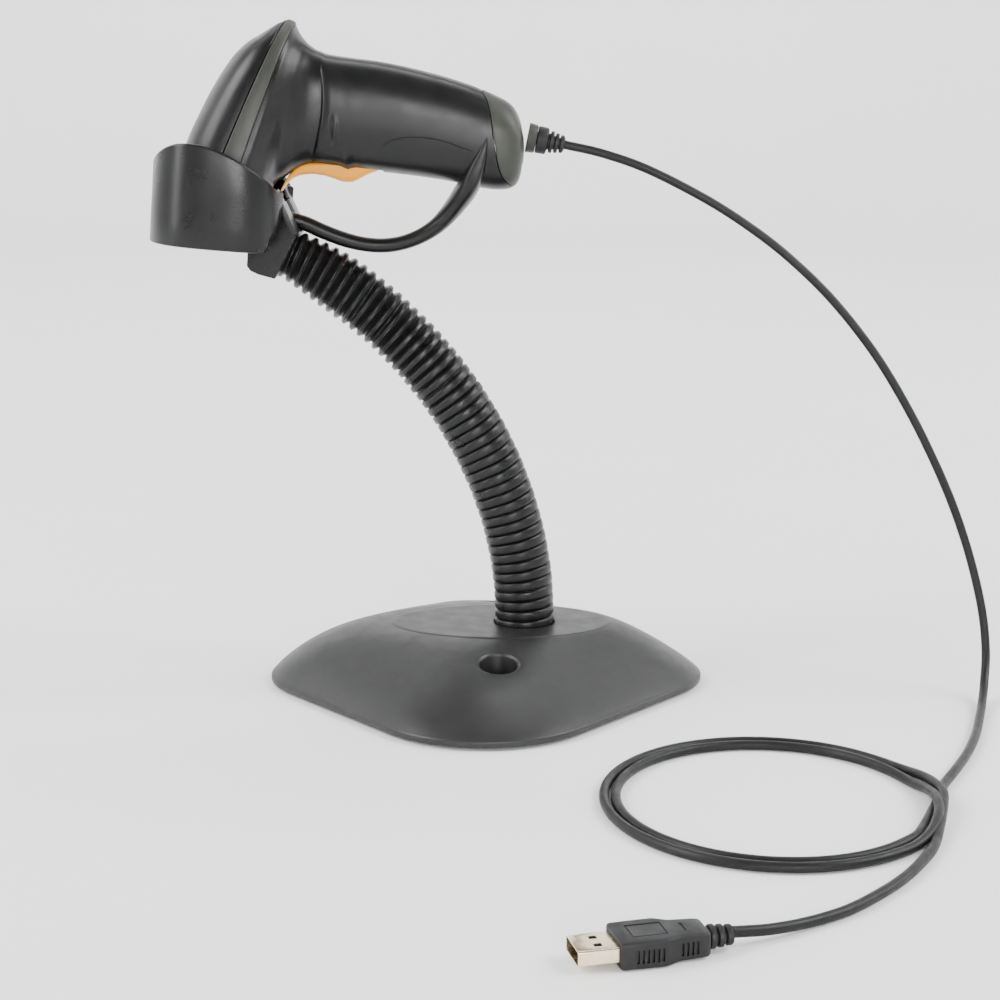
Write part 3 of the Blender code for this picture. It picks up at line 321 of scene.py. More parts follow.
def emboss(tree, shader, *layers):
    """Bump from layers of (pattern, depth in metres), each on top of the last."""
    normal = None
    for pattern, depth in layers:
        bump = tree.nodes.new("ShaderNodeBump")
        bump.inputs["Strength"].default_value = 1.0
        bump.inputs["Distance"].default_value = depth
        tree.links.new(pattern, bump.inputs["Height"])
        if normal is not None:
            tree.links.new(normal, bump.inputs["Normal"])
        normal = bump.outputs["Normal"]
    tree.links.new(normal, shader.inputs["Normal"])


def scaled(colour, factor):
    return tuple(min(c * factor, 1.0) for c in colour)


def worn_edges(tree, start=0.52, end=0.62):
    """A share that rises on sharp outer edges, broken up by noise."""
    geometry = tree.nodes.new("ShaderNodeNewGeometry")
    edge = spread(tree, geometry.outputs["Pointiness"], 0.0, 1.0, start, end)
    broken = spread(tree, speckle(tree, 420, 4), 0.15, 1.0)
    return add_numbers(tree, edge, broken, "MULTIPLY")


def moulded(name, colour, roughness, grain=2400, depth=0.000012, mottle=0.16, swing=0.07, waves=0.00004,
            edge_gain=2.2, scuffs=0.02, **sockets):
    """Moulded plastic or rubber: a fine texture, slow waviness, handling scuffs and polished edges."""
    made, tree, shader = new_finish(name, **{"Specular_IOR_Level": 0.28, **sockets})
    broad, patch = speckle(tree, 26, 4), speckle(tree, 150, 4)
    dark, light = scaled(colour, 1 - mottle), scaled(colour, 1 + mottle)
    base = blend_colours(tree, spread(tree, broad, 0, 1), dark, light)
    edged = blend_colours(tree, worn_edges(tree), base, scaled(colour, edge_gain))
    tree.links.new(edged, shader.inputs["Base Color"])
    scratch = spread(tree, speckle(tree, 60, 3, (1, 9, 26), (0.3, 0.5, 0.2)), 0, scuffs, 0.55, 0.85)
    rough = spread(tree, patch, roughness - swing, roughness + swing)
    tree.links.new(add_numbers(tree, rough, scratch), shader.inputs["Roughness"])
    emboss(tree, shader, (speckle(tree, 45, 1), waves), (speckle(tree, grain, 2), depth))
    return made


def drawn_metal(name, colour, roughness, stretch, turn=(0, 0, 0), swing=0.08, depth=0.000006, stain=0.12):
    """Plated or rolled metal: streaks along one way, faint stains, and fine dents."""
    made, tree, shader = new_finish(name, metallic=1.0)
    streaks = speckle(tree, 300, 4, stretch, turn)
    cloud = speckle(tree, 160, 4)
    dark, light = scaled(colour, 1 - stain), scaled(colour, 1 + stain / 2)
    base = blend_colours(tree, spread(tree, cloud, 0, 1), dark, light)
    worn = blend_colours(tree, worn_edges(tree), base, scaled(colour, 1.15))
    tree.links.new(worn, shader.inputs["Base Color"])
    rough = spread(tree, streaks, roughness - swing, roughness + swing)
    tree.links.new(rough, shader.inputs["Roughness"])
    emboss(tree, shader, (streaks, depth), (speckle(tree, 900, 3), depth))
    return made


def cast_metal(name, colour, roughness):
    made, tree, shader = new_finish(name, metallic=1.0)
    base = clouded(tree, 90, 5, scaled(colour, 0.75), scaled(colour, 1.2))
    tree.links.new(base, shader.inputs["Base Color"])
    tree.links.new(spread(tree, speckle(tree, 500, 4), roughness - 0.1, roughness + 0.12), shader.inputs["Roughness"])
    emboss(tree, shader, (speckle(tree, 420, 5), 0.00012))
    return made


def cord_jacket(name, colour):
    """An extruded jacket: fine lines along it, a dull bloom, and slight colour changes."""
    made, tree, shader = new_finish(name, Specular_IOR_Level=0.25)
    lines = speckle(tree, 1.0, 2, (6, 90, 1), coordinates="UV")
    cloud = speckle(tree, 60, 4)
    base = blend_colours(tree, spread(tree, cloud, 0, 1), scaled(colour, 0.82), scaled(colour, 1.22))
    tree.links.new(base, shader.inputs["Base Color"])
    tree.links.new(spread(tree, speckle(tree, 220, 3), 0.38, 0.52), shader.inputs["Roughness"])
    emboss(tree, shader, (lines, 0.00002), (speckle(tree, 2600, 2), 0.00001))
    return made


def filter_window(name):
    made, tree, shader = new_finish(name, IOR=1.49, Transmission_Weight=0.45, Coat_Weight=0.5, Coat_Roughness=0.04)
    base = clouded(tree, 40, 3, (0.10, 0.003, 0.003), (0.17, 0.006, 0.005))
    tree.links.new(base, shader.inputs["Base Color"])
    smear = speckle(tree, 60, 4, (1, 5, 1), (0, 0, 0.4))
    tree.links.new(spread(tree, smear, 0.04, 0.16), shader.inputs["Roughness"])
    emboss(tree, shader, (speckle(tree, 120, 2), 0.000008))
    return made


def mirror_face(name):
    made, tree, shader = new_finish(name, metallic=1.0)
    base = clouded(tree, 80, 3, (0.80, 0.83, 0.86), (0.90, 0.91, 0.93))
    tree.links.new(base, shader.inputs["Base Color"])
    tree.links.new(spread(tree, speckle(tree, 1500, 3), 0.02, 0.10, 0.5, 0.8), shader.inputs["Roughness"])
    emboss(tree, shader, (speckle(tree, 200, 1), 0.000002))
    return made


def wound_copper_painted_shade(name):
    """Turns of enamelled wire, as fine ridges round the coil, with painted shade in the grooves between turns and a
    painted highlight on each turn's crest.
    """
    made, tree, shader = new_finish(name, metallic=0.85, Coat_Weight=0.6, Coat_Roughness=0.15)
    wave = tree.nodes.new("ShaderNodeTexWave")
    wave.bands_direction = "Z"
    wave.inputs["Scale"].default_value = 900
    wave.inputs["Distortion"].default_value = 0.6
    place = tree.nodes.new("ShaderNodeTexCoord")
    tree.links.new(place.outputs["Object"], wave.inputs["Vector"])
    # painted shade and highlight: the colour follows the ridges, dark copper in the grooves and light copper on the
    # crests
    tree.links.new(blend_colours(tree, wave.outputs["Fac"], (0.30, 0.10, 0.04), (0.82, 0.42, 0.22)),
                   shader.inputs["Base Color"])
    tree.links.new(spread(tree, speckle(tree, 300, 2), 0.22, 0.38), shader.inputs["Roughness"])
    emboss(tree, shader, (wave.outputs["Fac"], 0.00008))
    return made


def circuit_board(name):
    """Solder mask over copper tracks, which show as lighter raised lines."""
    made, tree, shader = new_finish(name, Coat_Weight=0.5, Coat_Roughness=0.12)
    tracks = tree.nodes.new("ShaderNodeTexBrick")
    for socket, number in (("Scale", 260.0), ("Mortar Size", 0.018), ("Brick Width", 0.9), ("Row Height", 0.35)):
        tracks.inputs[socket].default_value = number
    place = tree.nodes.new("ShaderNodeTexCoord")
    tree.links.new(place.outputs["Object"], tracks.inputs["Vector"])
    mask = clouded(tree, 90, 3, (0.010, 0.085, 0.035), (0.016, 0.125, 0.05))
    base = blend_colours(tree, tracks.outputs["Fac"], mask, (0.05, 0.25, 0.10))
    tree.links.new(base, shader.inputs["Base Color"])
    tree.links.new(spread(tree, speckle(tree, 500, 3), 0.28, 0.42), shader.inputs["Roughness"])
    emboss(tree, shader, (tracks.outputs["Fac"], 0.00004))
    return made


def stage_paper(name):
    made, tree, shader = new_finish(name)
    base = clouded(tree, 3, 2, (0.86, 0.86, 0.86), (0.88, 0.88, 0.88))
    tree.links.new(base, shader.inputs["Base Color"])
    tree.links.new(spread(tree, speckle(tree, 40, 2), 0.62, 0.72), shader.inputs["Roughness"])
    return made


BLACK = (0.0050, 0.0050, 0.0053)
BASE_BLACK = moulded("base_black_plastic", (0.0110, 0.0110, 0.0112), 0.42, swing=0.05,
                      Specular_IOR_Level=0.42)
SHELL_BLACK = moulded("shell_black_plastic", BLACK, 0.33, grain=3000, depth=0.000008, swing=0.05)
CUP_BLACK = moulded("cup_black_plastic", BLACK, 0.30, grain=3200, depth=0.000006, swing=0.04)
MATT_BLACK = moulded("matt_black_plastic", (0.0060, 0.0060, 0.0064), 0.55, depth=0.00002)
CONDUIT_BLACK = moulded("conduit_black_plastic", (0.0045, 0.0045, 0.0048), 0.34, grain=1600, depth=0.00002,
                        swing=0.08)
RUBBER_BLACK = moulded("soft_black_rubber", (0.0085, 0.0085, 0.0090), 0.50, grain=2000, depth=0.00002, mottle=0.2)
OLIVE = moulded("olive_elastomer", (0.029, 0.031, 0.025), 0.42, grain=2600, depth=0.000016, mottle=0.08,
                edge_gain=1.25)
AMBER = moulded("amber_plastic", (0.78, 0.30, 0.002), 0.34, grain=1500, depth=0.000006, mottle=0.06, swing=0.06,
                edge_gain=1.1, Specular_IOR_Level=0.4, Subsurface_Weight=0.08, Subsurface_Scale=0.004)
PAD_RUBBER = moulded("pad_rubber", (0.020, 0.020, 0.020), 0.82, grain=900, depth=0.00010, mottle=0.25)
LIGHT_PIPE = moulded("light_pipe_plastic", (0.82, 0.85, 0.82), 0.22, mottle=0.04, edge_gain=1.05,
                     Transmission_Weight=0.5)
CLEAR_PLASTIC = moulded("clear_plastic", (0.80, 0.82, 0.82), 0.12, mottle=0.04, edge_gain=1.05,
                        Transmission_Weight=0.8)
CORD_BLACK = cord_jacket("cord_jacket_black", (0.0055, 0.0055, 0.0058))
STEEL = drawn_metal("plated_steel", (0.56, 0.56, 0.57), 0.28, (1, 1, 12))
PLUG_METAL = drawn_metal("warm_plated_steel", (0.80, 0.67, 0.47), 0.24, (1, 16, 16),
                         (0, 0, -math.radians(PLUG_YAW)), swing=0.06, depth=0.000003, stain=0.06)
BRASS = drawn_metal("turned_brass", (0.78, 0.58, 0.28), 0.26, (1, 14, 1))
CAST_IRON = cast_metal("cast_iron", (0.19, 0.19, 0.20), 0.60)
CAST_ALLOY = cast_metal("cast_alloy", (0.52, 0.53, 0.55), 0.40)
MIRROR = mirror_face("mirror_glass")
COPPER = wound_copper_painted_shade("enamelled_copper")
BOARD = circuit_board("solder_mask")
RED_FILTER = filter_window("dark_red_filter")


# ---------------------------------------------------------------- camera, floor and light
def make_camera():
    lens = bpy.data.cameras.new("camera")
    lens.sensor_width = 36.0
    lens.lens = 72.0
    camera = bpy.data.objects.new("camera", lens)
    bpy.context.scene.collection.objects.link(camera)
    camera.location = (0.0056, -0.778, 0.236)
    camera.rotation_euler = (math.radians(90 - 11.75), 0, 0)
    bpy.context.scene.camera = camera


def make_floor():
    """A flat pale floor that curves up into a wall far away all round."""
    rings = []
    reach, bend, rise = 2.40, 0.48, 1.60
    profile = [(reach * t, 0.0) for t in (0.001, 0.1, 0.2, 0.35, 0.5, 0.7, 0.85, 1.0)]
    for i in range(1, 13):
        angle = math.pi / 2 * i / 12
        profile.append((reach + bend * math.sin(angle), bend * (1 - math.cos(angle))))
    profile.append((reach + bend, bend + rise))
    for radius, height in profile:
        turn = [2 * math.pi * i / 96 for i in range(96)]
        rings.append([Vector((radius * math.cos(a), radius * math.sin(a), height - 0.00005)) for a in turn])
    floor = loft("floor", rings, stage_paper("stage_paper"), caps=False)
    centre = [tuple(rings[0][i]) for i in range(96)]
    middle = mesh_piece("floor_middle", centre, [tuple(range(96))], floor.data.materials[0])


def make_light(name, place, aim, size, power):
    lamp = bpy.data.lights.new(name, "AREA")
    lamp.shape = "RECTANGLE"
    lamp.size, lamp.size_y = size
    lamp.energy = power
    item = bpy.data.objects.new(name, lamp)
    bpy.context.scene.collection.objects.link(item)
    item.location = place
    item.rotation_euler = (Vector(aim) - Vector(place)).to_track_quat("-Z", "Y").to_euler()


def make_lights():
    world = bpy.data.worlds.new("studio")
    world.use_nodes = True
    background = world.node_tree.nodes["Background"]
    background.inputs["Color"].default_value = (0.97, 0.98, 1.0, 1.0)
    background.inputs["Strength"].default_value = 0.34
    bpy.context.scene.world = world
    make_light("left_high_softbox", (-1.60, -0.20, 1.60), (0.0, 0.0, 0.0), (1.1, 1.1), 48)
    make_light("right_high_softbox", (1.60, -0.20, 1.60), (0.0, 0.0, 0.0), (1.1, 1.1), 48)
    make_light("top_softbox", (0.0, 0.90, 2.00), (0.0, 0.10, 0.0), (1.4, 0.8), 9)
    make_light("front_softbox", (0.25, -1.75, 0.52), (0.0, 0.0, 0.20), (0.7, 0.7), 22)
    make_light("left_softbox", (-1.20, -0.62, 0.50), (-0.08, 0.0, 0.18), (0.30, 0.9), 9)
    make_light("right_softbox", (1.30, 0.20, 0.70), (0.0, 0.0, 0.12), (0.3, 0.8), 5)
    make_light("wall_wash", (0.0, 1.20, 2.10), (0.0, 2.90, 0.5), (3.2, 0.4), 60)


# ---------------------------------------------------------------- base of the stand
def outline_reach(angle):
    """Distance from the centre to the base's outline, a diamond with round corners."""
    c, s = abs(math.cos(angle)), abs(math.sin(angle))
    normal = Vector((1 / BASE_HALF_X, 1 / BASE_HALF_Y)).normalized()
    reach = normal.x * BASE_HALF_X
    side_x = (reach - BASE_SIDE_RADIUS) / normal.x
    front_y = (reach - BASE_FRONT_RADIUS) / normal.y
    turn = math.atan2(s, c)
    if turn < math.atan2(BASE_SIDE_RADIUS * normal.y, side_x + BASE_SIDE_RADIUS * normal.x):
        return side_x * c + math.sqrt(BASE_SIDE_RADIUS**2 - (side_x * s) ** 2)
    if turn > math.atan2(front_y + BASE_FRONT_RADIUS * normal.y, BASE_FRONT_RADIUS * normal.x):
        return front_y * s + math.sqrt(BASE_FRONT_RADIUS**2 - (front_y * c) ** 2)
    return reach / (normal.x * c + normal.y * s)


def platform_reach(angle):
    a, b = PLATFORM_HALF_X, PLATFORM_HALF_Y
    return a * b / math.hypot(b * math.cos(angle), a * math.sin(angle))


def slope_point(share, angle, inset=0.0):
    """A point of the plan between the platform's edge (share 0) and the outline (share 1)."""
    inner = platform_reach(angle)
    reach = inner + (outline_reach(angle) - inner) * share - inset
    return PLATFORM_X * (1 - share) + reach * math.cos(angle), reach * math.sin(angle)


def share_at(x, y):
    share = 0.5
    for _ in range(16):
        across = x - PLATFORM_X * (1 - share)
        angle = math.atan2(y, across)
        inner = platform_reach(angle)
        share = (math.hypot(across, y) - inner) / (outline_reach(angle) - inner)
        share = min(max(share, 0.0), 1.0)
    return share


def well_distance(x, y):
    return math.hypot(x - WELL_X, abs(y) - WELL_Y)


def slope_height(x, y):
    """The slope's height, with the shallow funnel round each screw well."""
    share = share_at(x, y)
    crown = SLOPE_CROWN - SLOPE_SWING * math.cos(math.atan2(y, x - PLATFORM_X * (1 - share)))
    fall = (1 - share**crown) ** SLOPE_POWER * (1 - SLOPE_DROP * share)
    height = BASE_LIP + (PLATFORM_Z - BASE_LIP) * fall
    return height - 0.0013 * math.exp(-((well_distance(x, y) / 0.0125) ** 2))


def make_base():
    """The cover as one grid, opened into a round, smooth-lipped well on each side."""
    sides, rows = 192, 44
    lip, well_half, blend_half = 0.0016, 6, 13
    crown, platform_lift, well_floor = 0.0005, 0.0002, 0.0034
    points, index, faces = [], {}, []

    def put(key, place):
        if key not in index:
            index[key] = len(points)
            points.append(place)
        return index[key]

    def centre_of(way):
        return max(range(sides), key=lambda j: way * math.sin(2 * math.pi * j / sides)), round(
            share_at(WELL_X, way * WELL_Y) * rows)

    wells = {way: centre_of(way) for way in (-1, 1)}

    def grid_place(i, j):
        x, y = slope_point(i / rows, 2 * math.pi * j / sides)
        way = 1 if y > 0 else -1
        middle_j, middle_i = wells[way]
        gap = (j - middle_j + sides // 2) % sides - sides // 2
        steps = max(abs(gap), abs(i - middle_i))
        if well_half <= steps < blend_half:
            share = (steps - well_half) / (blend_half - well_half)
            angle = math.atan2((i - middle_i) * way, -gap * way)
            reach = WELL_RADIUS + lip + (blend_half - well_half) * 0.0015 * share
            round_x = WELL_X + reach * math.cos(angle)
            round_y = way * WELL_Y + reach * math.sin(angle)
            soft = share * share * (3 - 2 * share)
            x, y = round_x + (x - round_x) * soft, round_y + (y - round_y) * soft
        elif steps < well_half:
            return None
        return Vector((x, y, slope_height(x, y)))

    places = {(i, j): grid_place(i, j) for i in range(rows + 1) for j in range(sides)}
    for i in range(rows):
        for j in range(sides):
            corners = [(i, j), (i, (j + 1) % sides), (i + 1, (j + 1) % sides), (i + 1, j)]
            if all(places[c] is not None for c in corners):
                faces.append(tuple(put(c, places[c]) for c in corners))

    def ring_of(label, place):
        return [put((label, j), place(2 * math.pi * j / sides)) for j in range(sides)]

    def join(first, second):
        for j in range(len(first)):
            k = (j + 1) % len(first)
            faces.append((first[j], first[k], second[k], second[j]))

    edge = [put((0, j), places[(0, j)]) for j in range(sides)]
    for number in range(1, 4):
        round_off = math.sin(math.pi / 2 * number / 3)
        ring = ring_of(f"crown{number}", lambda a: Vector((
            *slope_point(0, a, crown * round_off), PLATFORM_Z + platform_lift * round_off)))
        join(edge, ring)
        edge = ring
    for number, share in enumerate((0.93, 0.8, 0.6, 0.4, 0.2, 0.06, 0.0)):
        def flat(a):
            x, y = slope_point(0, a, crown)
            inner = NECK_RADIUS + 0.0011
            return Vector((NECK_X + inner * math.cos(a) + (x - NECK_X - inner * math.cos(a)) * share,
                           inner * math.sin(a) + (y - inner * math.sin(a)) * share,
                           PLATFORM_Z + platform_lift))
        ring = ring_of(f"flat{number}", flat)
        join(edge, ring)
        edge = ring
    for number, (radius, height) in enumerate(((0.0007, -0.0001), (0.0005, -0.0006), (0.0005, -BASE_WALL))):
        ring = ring_of(f"mouth{number}", lambda a: Vector((
            NECK_X + (NECK_RADIUS + radius) * math.cos(a), (NECK_RADIUS + radius) * math.sin(a), PLATFORM_Z + height)))
        join(edge, ring)
        edge = ring

    edge = [put((rows, j), places[(rows, j)]) for j in range(sides)]
    rim = 0.0009
    for number in range(1, 6):
        turn = math.radians(18 + 72 * number / 5)
        inset, drop = rim * (1 - math.sin(turn)), rim * (1 - math.cos(turn))
        ring = ring_of(f"rim{number}", lambda a: Vector((*slope_point(1, a, inset - rim * 0.69), BASE_LIP - drop)))
        join(edge, ring)
        edge = ring
    for number, (inset, height) in enumerate(((-0.0006, BASE_FOOT + 0.0005), (-0.0003, BASE_FOOT),
                                              (0.0020, BASE_FOOT), (0.0024, 0.0032))):
        ring = ring_of(f"foot{number}", lambda a: Vector((*slope_point(1, a, inset), height)))
        join(edge, ring)
        edge = ring

    for way, (middle_j, middle_i) in wells.items():
        border = [(-well_half, step) for step in range(-well_half, well_half)]
        for _ in range(3):
            border += [(j, -i) for i, j in border[-2 * well_half:]]
        keys = [(middle_i + i, (middle_j + j) % sides) for i, j in border]
        ring = [put(key, places[key]) for key in keys]
        spots = [points[v].copy() for v in ring]
        for number in range(1, 8):
            turn = math.radians(90 * min(number, 6) / 6)
            new_ring = []
            for k, spot in enumerate(spots):
                out = Vector((spot.x - WELL_X, spot.y - way * WELL_Y, 0)).normalized()
                place = spot - out * (lip * math.sin(turn))
                place.z = spot.z - lip * (1 - math.cos(turn)) if number < 7 else well_floor
                new_ring.append(put((f"well{way}_{number}", k), place))
            join(ring, new_ring)
            ring = new_ring
    cover = mesh_piece("base_cover_shell", points, faces, BASE_BLACK, 50)
    belongs(cover, "stand", "black_satin", "base_cover")


# ---------------------------------------------------------------- gooseneck
def neck_lean(s):
    share = min(max(s / NECK_LENGTH, 0.0), 1.0)
    return math.radians(NECK_FOOT_LEAN + (NECK_TOP_LEAN - NECK_FOOT_LEAN) * share**NECK_LEAN_POWER)


def neck_line(start, end, step=0.0005):
    """The neck's centreline as {arc length step: (place, direction)} from below the platform to the top."""
    line = {}
    for way in (-1, 1):
        place, s = Vector((NECK_X, 0, PLATFORM_Z)), 0.0
        for i in range(round((end if way > 0 else -start) / step) + 2):
            lean = neck_lean(s)
            line[i * way] = (place.copy(), Vector((-math.sin(lean), 0, math.cos(lean))))
            lean = neck_lean(s + way * step / 2)
            place += Vector((-math.sin(lean), 0, math.cos(lean))) * step * way
            s += step * way
    return line


NECK_STEP = 0.0005
NECK_LINE = neck_line(-0.012, NECK_LENGTH + 0.012)


def neck_point(s):
    i = math.floor(s / NECK_STEP)
    share = s / NECK_STEP - i
    (a, way_a), (b, way_b) = NECK_LINE[i], NECK_LINE[i + 1]
    return a.lerp(b, share), way_a.lerp(way_b, share).normalized()


# One rib from groove to groove: (share of the pitch, depth below the crest) for the flat bands of the lower
# neck and for the sharper, double-crested ribs of the upper neck.
BAND_RIB = ((0.0, 0.00085), (0.045, 0.00070), (0.085, 0.00030), (0.15, 0.00008), (0.28, 0.0), (0.50, -0.00004),
            (0.72, 0.0), (0.86, 0.00010), (0.93, 0.00032), (0.97, 0.00068))
SHARP_RIB = ((0.0, 0.0019), (0.10, 0.00165), (0.22, 0.00085), (0.32, 0.00022), (0.40, 0.0), (0.49, 0.00022),
             (0.58, 0.0), (0.68, 0.00022), (0.79, 0.00085), (0.91, 0.00165))


def rib_place(s, depth, angle):
    place, way = neck_point(s)
    across = Y_AXIS.cross(way)
    taper = min(max(0.0, s - (NECK_LENGTH - NECK_TAPER)) / NECK_TAPER, 1.0)
    radius = NECK_RADIUS + (NECK_TOP_RADIUS - NECK_RADIUS) * taper + 0.0002 - depth
    return place + radius * (across * math.cos(angle) + Y_AXIS * math.sin(angle))


def make_neck_piece(name, start_turn, end_turn, sides=56):
    """A stretch of the wound conduit as a true helix of ribs, from groove to groove."""
    rows = []
    count = len(BAND_RIB)
    for row in range(start_turn * count, end_turn * count + 1):
        ring = []
        for j in range(sides + 1):
            share, depth = BAND_RIB[row % count]
            sharp_share, sharp_depth = SHARP_RIB[row % count]
            s = -0.010 + RIB_PITCH * (row // count + share + j / sides)
            sharp = min(max((s - 0.085) / 0.045, 0.0), 1.0)
            s += RIB_PITCH * (sharp_share - share) * sharp
            s = min(s, NECK_LENGTH + 0.0028)
            wobble = 0.00006 * math.sin(1.7 * (row // count) + 0.9 * math.sin(2.3 * (row // count)))
            depth = depth + (sharp_depth - depth) * sharp + wobble
            ring.append(rib_place(s, depth, 2 * math.pi * j / sides - math.pi * 0.75))
        rows.append(ring)
    return loft(name, rows, CONDUIT_BLACK, caps=False, closed=False, angle=60)


def make_neck():
    """Four stretches, each spanning one of the neck's joints, that meet in a groove mid-way."""
    stands_for = (("neck_root_conduit", "neck_lower_conduit"), ("neck_middle_conduit",), ("neck_upper_conduit",),
                  ("neck_top_conduit",))
    total = math.ceil((NECK_LENGTH + 0.0105) / RIB_PITCH)
    turns = [0, *(round((s + 0.010) / RIB_PITCH - 0.5) for s in (0.053, 0.091, 0.129)), total]
    for i, cut in enumerate(NECK_CUTS):
        piece = make_neck_piece(f"neck_ribs_{i + 1}", turns[i], turns[i + 1])
        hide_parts(*stands_for[i])
        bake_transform(piece)


# ---------------------------------------------------------------- cradle
def cradle_place(along_foot, rise, y=0.0):
    """A point in the cradle's own tilted frame: along its foot, and up its axis."""
    tilt = math.radians(CRADLE_TILT)
    x = CRADLE_X + along_foot * math.cos(tilt) + rise * math.sin(tilt)
    z = CRADLE_Z - along_foot * math.sin(tilt) + rise * math.cos(tilt)
    return Vector((x, y, z))


def cup_plan(angle, inset):
    c, s = math.cos(angle), math.sin(angle)
    reach = (CUP_REAR - CUP_MIDDLE if c > 0 else CUP_FRONT + CUP_MIDDLE) - inset
    share_x, share_y = rounded(c, s, 3.2 if c > 0 else 2.7)
    return CUP_MIDDLE + reach * share_x, (CUP_HALF_Y - inset) * share_y


CUP_RIM = ((-0.0210, 0.0292), (-0.0185, 0.0325), (-0.0163, 0.0345), (-0.0125, 0.0367), (-0.0085, 0.0379),
           (-0.0045, 0.0382), (0.0007, 0.0379), (0.0085, 0.0358), (0.0140, 0.0336), (0.0192, 0.0308),
           (0.0244, 0.0273), (0.0277, 0.0242), (0.0290, 0.0228))
CUP_CUT = ((0.0252, 0.0), (0.0326, 0.0190))
FLANGE_HALF_Y = 0.0190


def flat_outline(pairs):
    return [(p.x, p.z) for p in (cradle_place(a, b) for a, b in pairs)]


def make_cup():
    sides, wall, ledge = 176, CUP_WALL, CUP_WALL + CUP_LEDGE
    rings = []
    for i in range(sides):
        angle = 2 * math.pi * (i + 0.5) / sides
        top = along(CUP_RIM, cup_plan(angle, 0.0)[0])
        profile = (
            (0.0, 0.0007), (0.0, 0.010), (0.0, 0.020), (0.0, top - 0.0010), (0.00012, top - 0.0005),
            (0.00045, top - 0.00012), (0.0009, top), (wall - 0.0009, top), (wall - 0.00045, top - 0.00012),
            (wall - 0.00012, top - 0.0005), (wall, top - 0.0010), (wall, 0.0020), (wall + 0.0003, 0.0017),
            (ledge - 0.0002, 0.0016), (ledge, 0.0014), (ledge, 0.0002), (ledge - 0.0002, 0.0), (0.0007, 0.0),
            (0.0002, 0.0002),
        )
        rings.append([cradle_place(cup_plan(angle, inset)[0], rise, cup_plan(angle, inset)[1])
                      for inset, rise in profile])
    cup = loft("cradle_cup_shell", rings, CUP_BLACK, looped=True)
    low, high = CUP_CUT
    lean = (high[0] - low[0]) / (high[1] - low[1])
    wedge = [(low[0] - 0.02 * lean, -0.02), (low[0] + 0.05 * lean, 0.05), (0.09, 0.05), (0.09, -0.02)]
    change(cup, slab("corner_cut", flat_outline(wedge), 0.05))
    gate = ((0.012, -0.010), (0.012, 0.050), (0.050, 0.050), (0.050, -0.010))
    change(cup, slab("gate_cut", flat_outline(gate), FLANGE_HALF_Y + 0.0003))
    belongs(cup, "cradle", "black_satin", "cradle_cup")


def soft_copy(node, name, finish, width):
    """A copy of a CAD node with its edges rounded, to stand in its place."""
    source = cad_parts[node]
    work = bmesh.new()
    work.from_mesh(source.data)
    work.transform(source.matrix_world)
    bmesh.ops.remove_doubles(work, verts=work.verts, dist=2e-6)
    bmesh.ops.dissolve_limit(work, angle_limit=math.radians(1.5), verts=work.verts, edges=work.edges)
    mesh = bpy.data.meshes.new(name)
    work.to_mesh(mesh)
    work.free()
    item = bpy.data.objects.new(name, mesh)
    bpy.context.scene.collection.objects.link(item)
    mesh.materials.append(finish)
    return bevelled(item, width, limit=30)


# ---------------------------------------------------------------- head of the scanner
HEAD_WIDTH = ((0.0, 0.0030), (0.0015, 0.0075), (0.004, 0.0115), (0.008, 0.0158), (0.013, 0.0195), (0.020, 0.0230),
              (0.030, 0.0262), (0.042, 0.0286), (0.055, 0.0303), (0.070, 0.0310), (0.095, 0.0288))
HEAD_RISE = ((0.0, 0.0024), (0.0015, 0.0042), (0.004, 0.0062), (0.008, 0.0092), (0.013, 0.0130), (0.020, 0.0161),
             (0.030, 0.0184), (0.042, 0.0200), (0.055, 0.0209), (0.070, 0.0206), (0.095, 0.0176))
TIP_OVER = 0.0005  # the rounded tip beyond the first station
HEAD_LONG = 0.0950
HEAD_DOWN = Vector((-math.sin(math.radians(HEAD_LEAN)), 0, -math.cos(math.radians(HEAD_LEAN))))
HEAD_SQUARE = Vector((-math.cos(math.radians(HEAD_LEAN)), 0, math.sin(math.radians(HEAD_LEAN))))
SEAM_GAP = 0.00015


def by_root(table, tip):
    """A table over the root of the distance from the tip, so that the shape ends round."""
    return ((0.0, tip), *((math.sqrt(s + TIP_OVER), value) for s, value in table))


WIDTH_BY_ROOT = by_root(HEAD_WIDTH, 0.0)
RISE_BY_ROOT = by_root(HEAD_RISE, 0.0021)


def head_width(s):
    return along(WIDTH_BY_ROOT, math.sqrt(max(s + TIP_OVER, 0.0)))


def head_place(s, y, out):
    return HEAD_TIP + HEAD_DOWN * s + HEAD_SQUARE * out + Y_AXIS * y


def band_half(s):
    return 0.0019 + 0.033 * max(s, 0.0)


def arc_points(width, rise, start, count, s):
    """Half an oval from -width to +width, rising from the level start, squarer near the rim."""
    power = 2 / (2.0 + 0.45 * min(max((s - 0.020) / 0.050, 0.0), 1.0))
    points = []
    for i in range(count + 1):
        angle = math.pi * (i / count - 0.5)
        y = width * math.copysign(abs(math.sin(angle)) ** power, angle)
        points.append((y, start + (rise - start) * abs(math.cos(angle)) ** power))
    return points


def trim_at_rim(item):
    """Cuts off what is below the head's rim, which is parallel to the cup's foot."""
    size = 0.3
    tilt = Matrix.Rotation(math.radians(CRADLE_TILT), 4, "Y")
    place = Matrix.Translation(cradle_place(0, RIM_LIFT - size / 2))
    return change(item, block("rim_cut", (size, size, size), place @ tilt, None))


def tip_stations(count):
    """Stations down the head, close together at the tip."""
    return [-TIP_OVER + (HEAD_LONG + TIP_OVER) * (i / count) ** 2 for i in range(1, count + 1)]


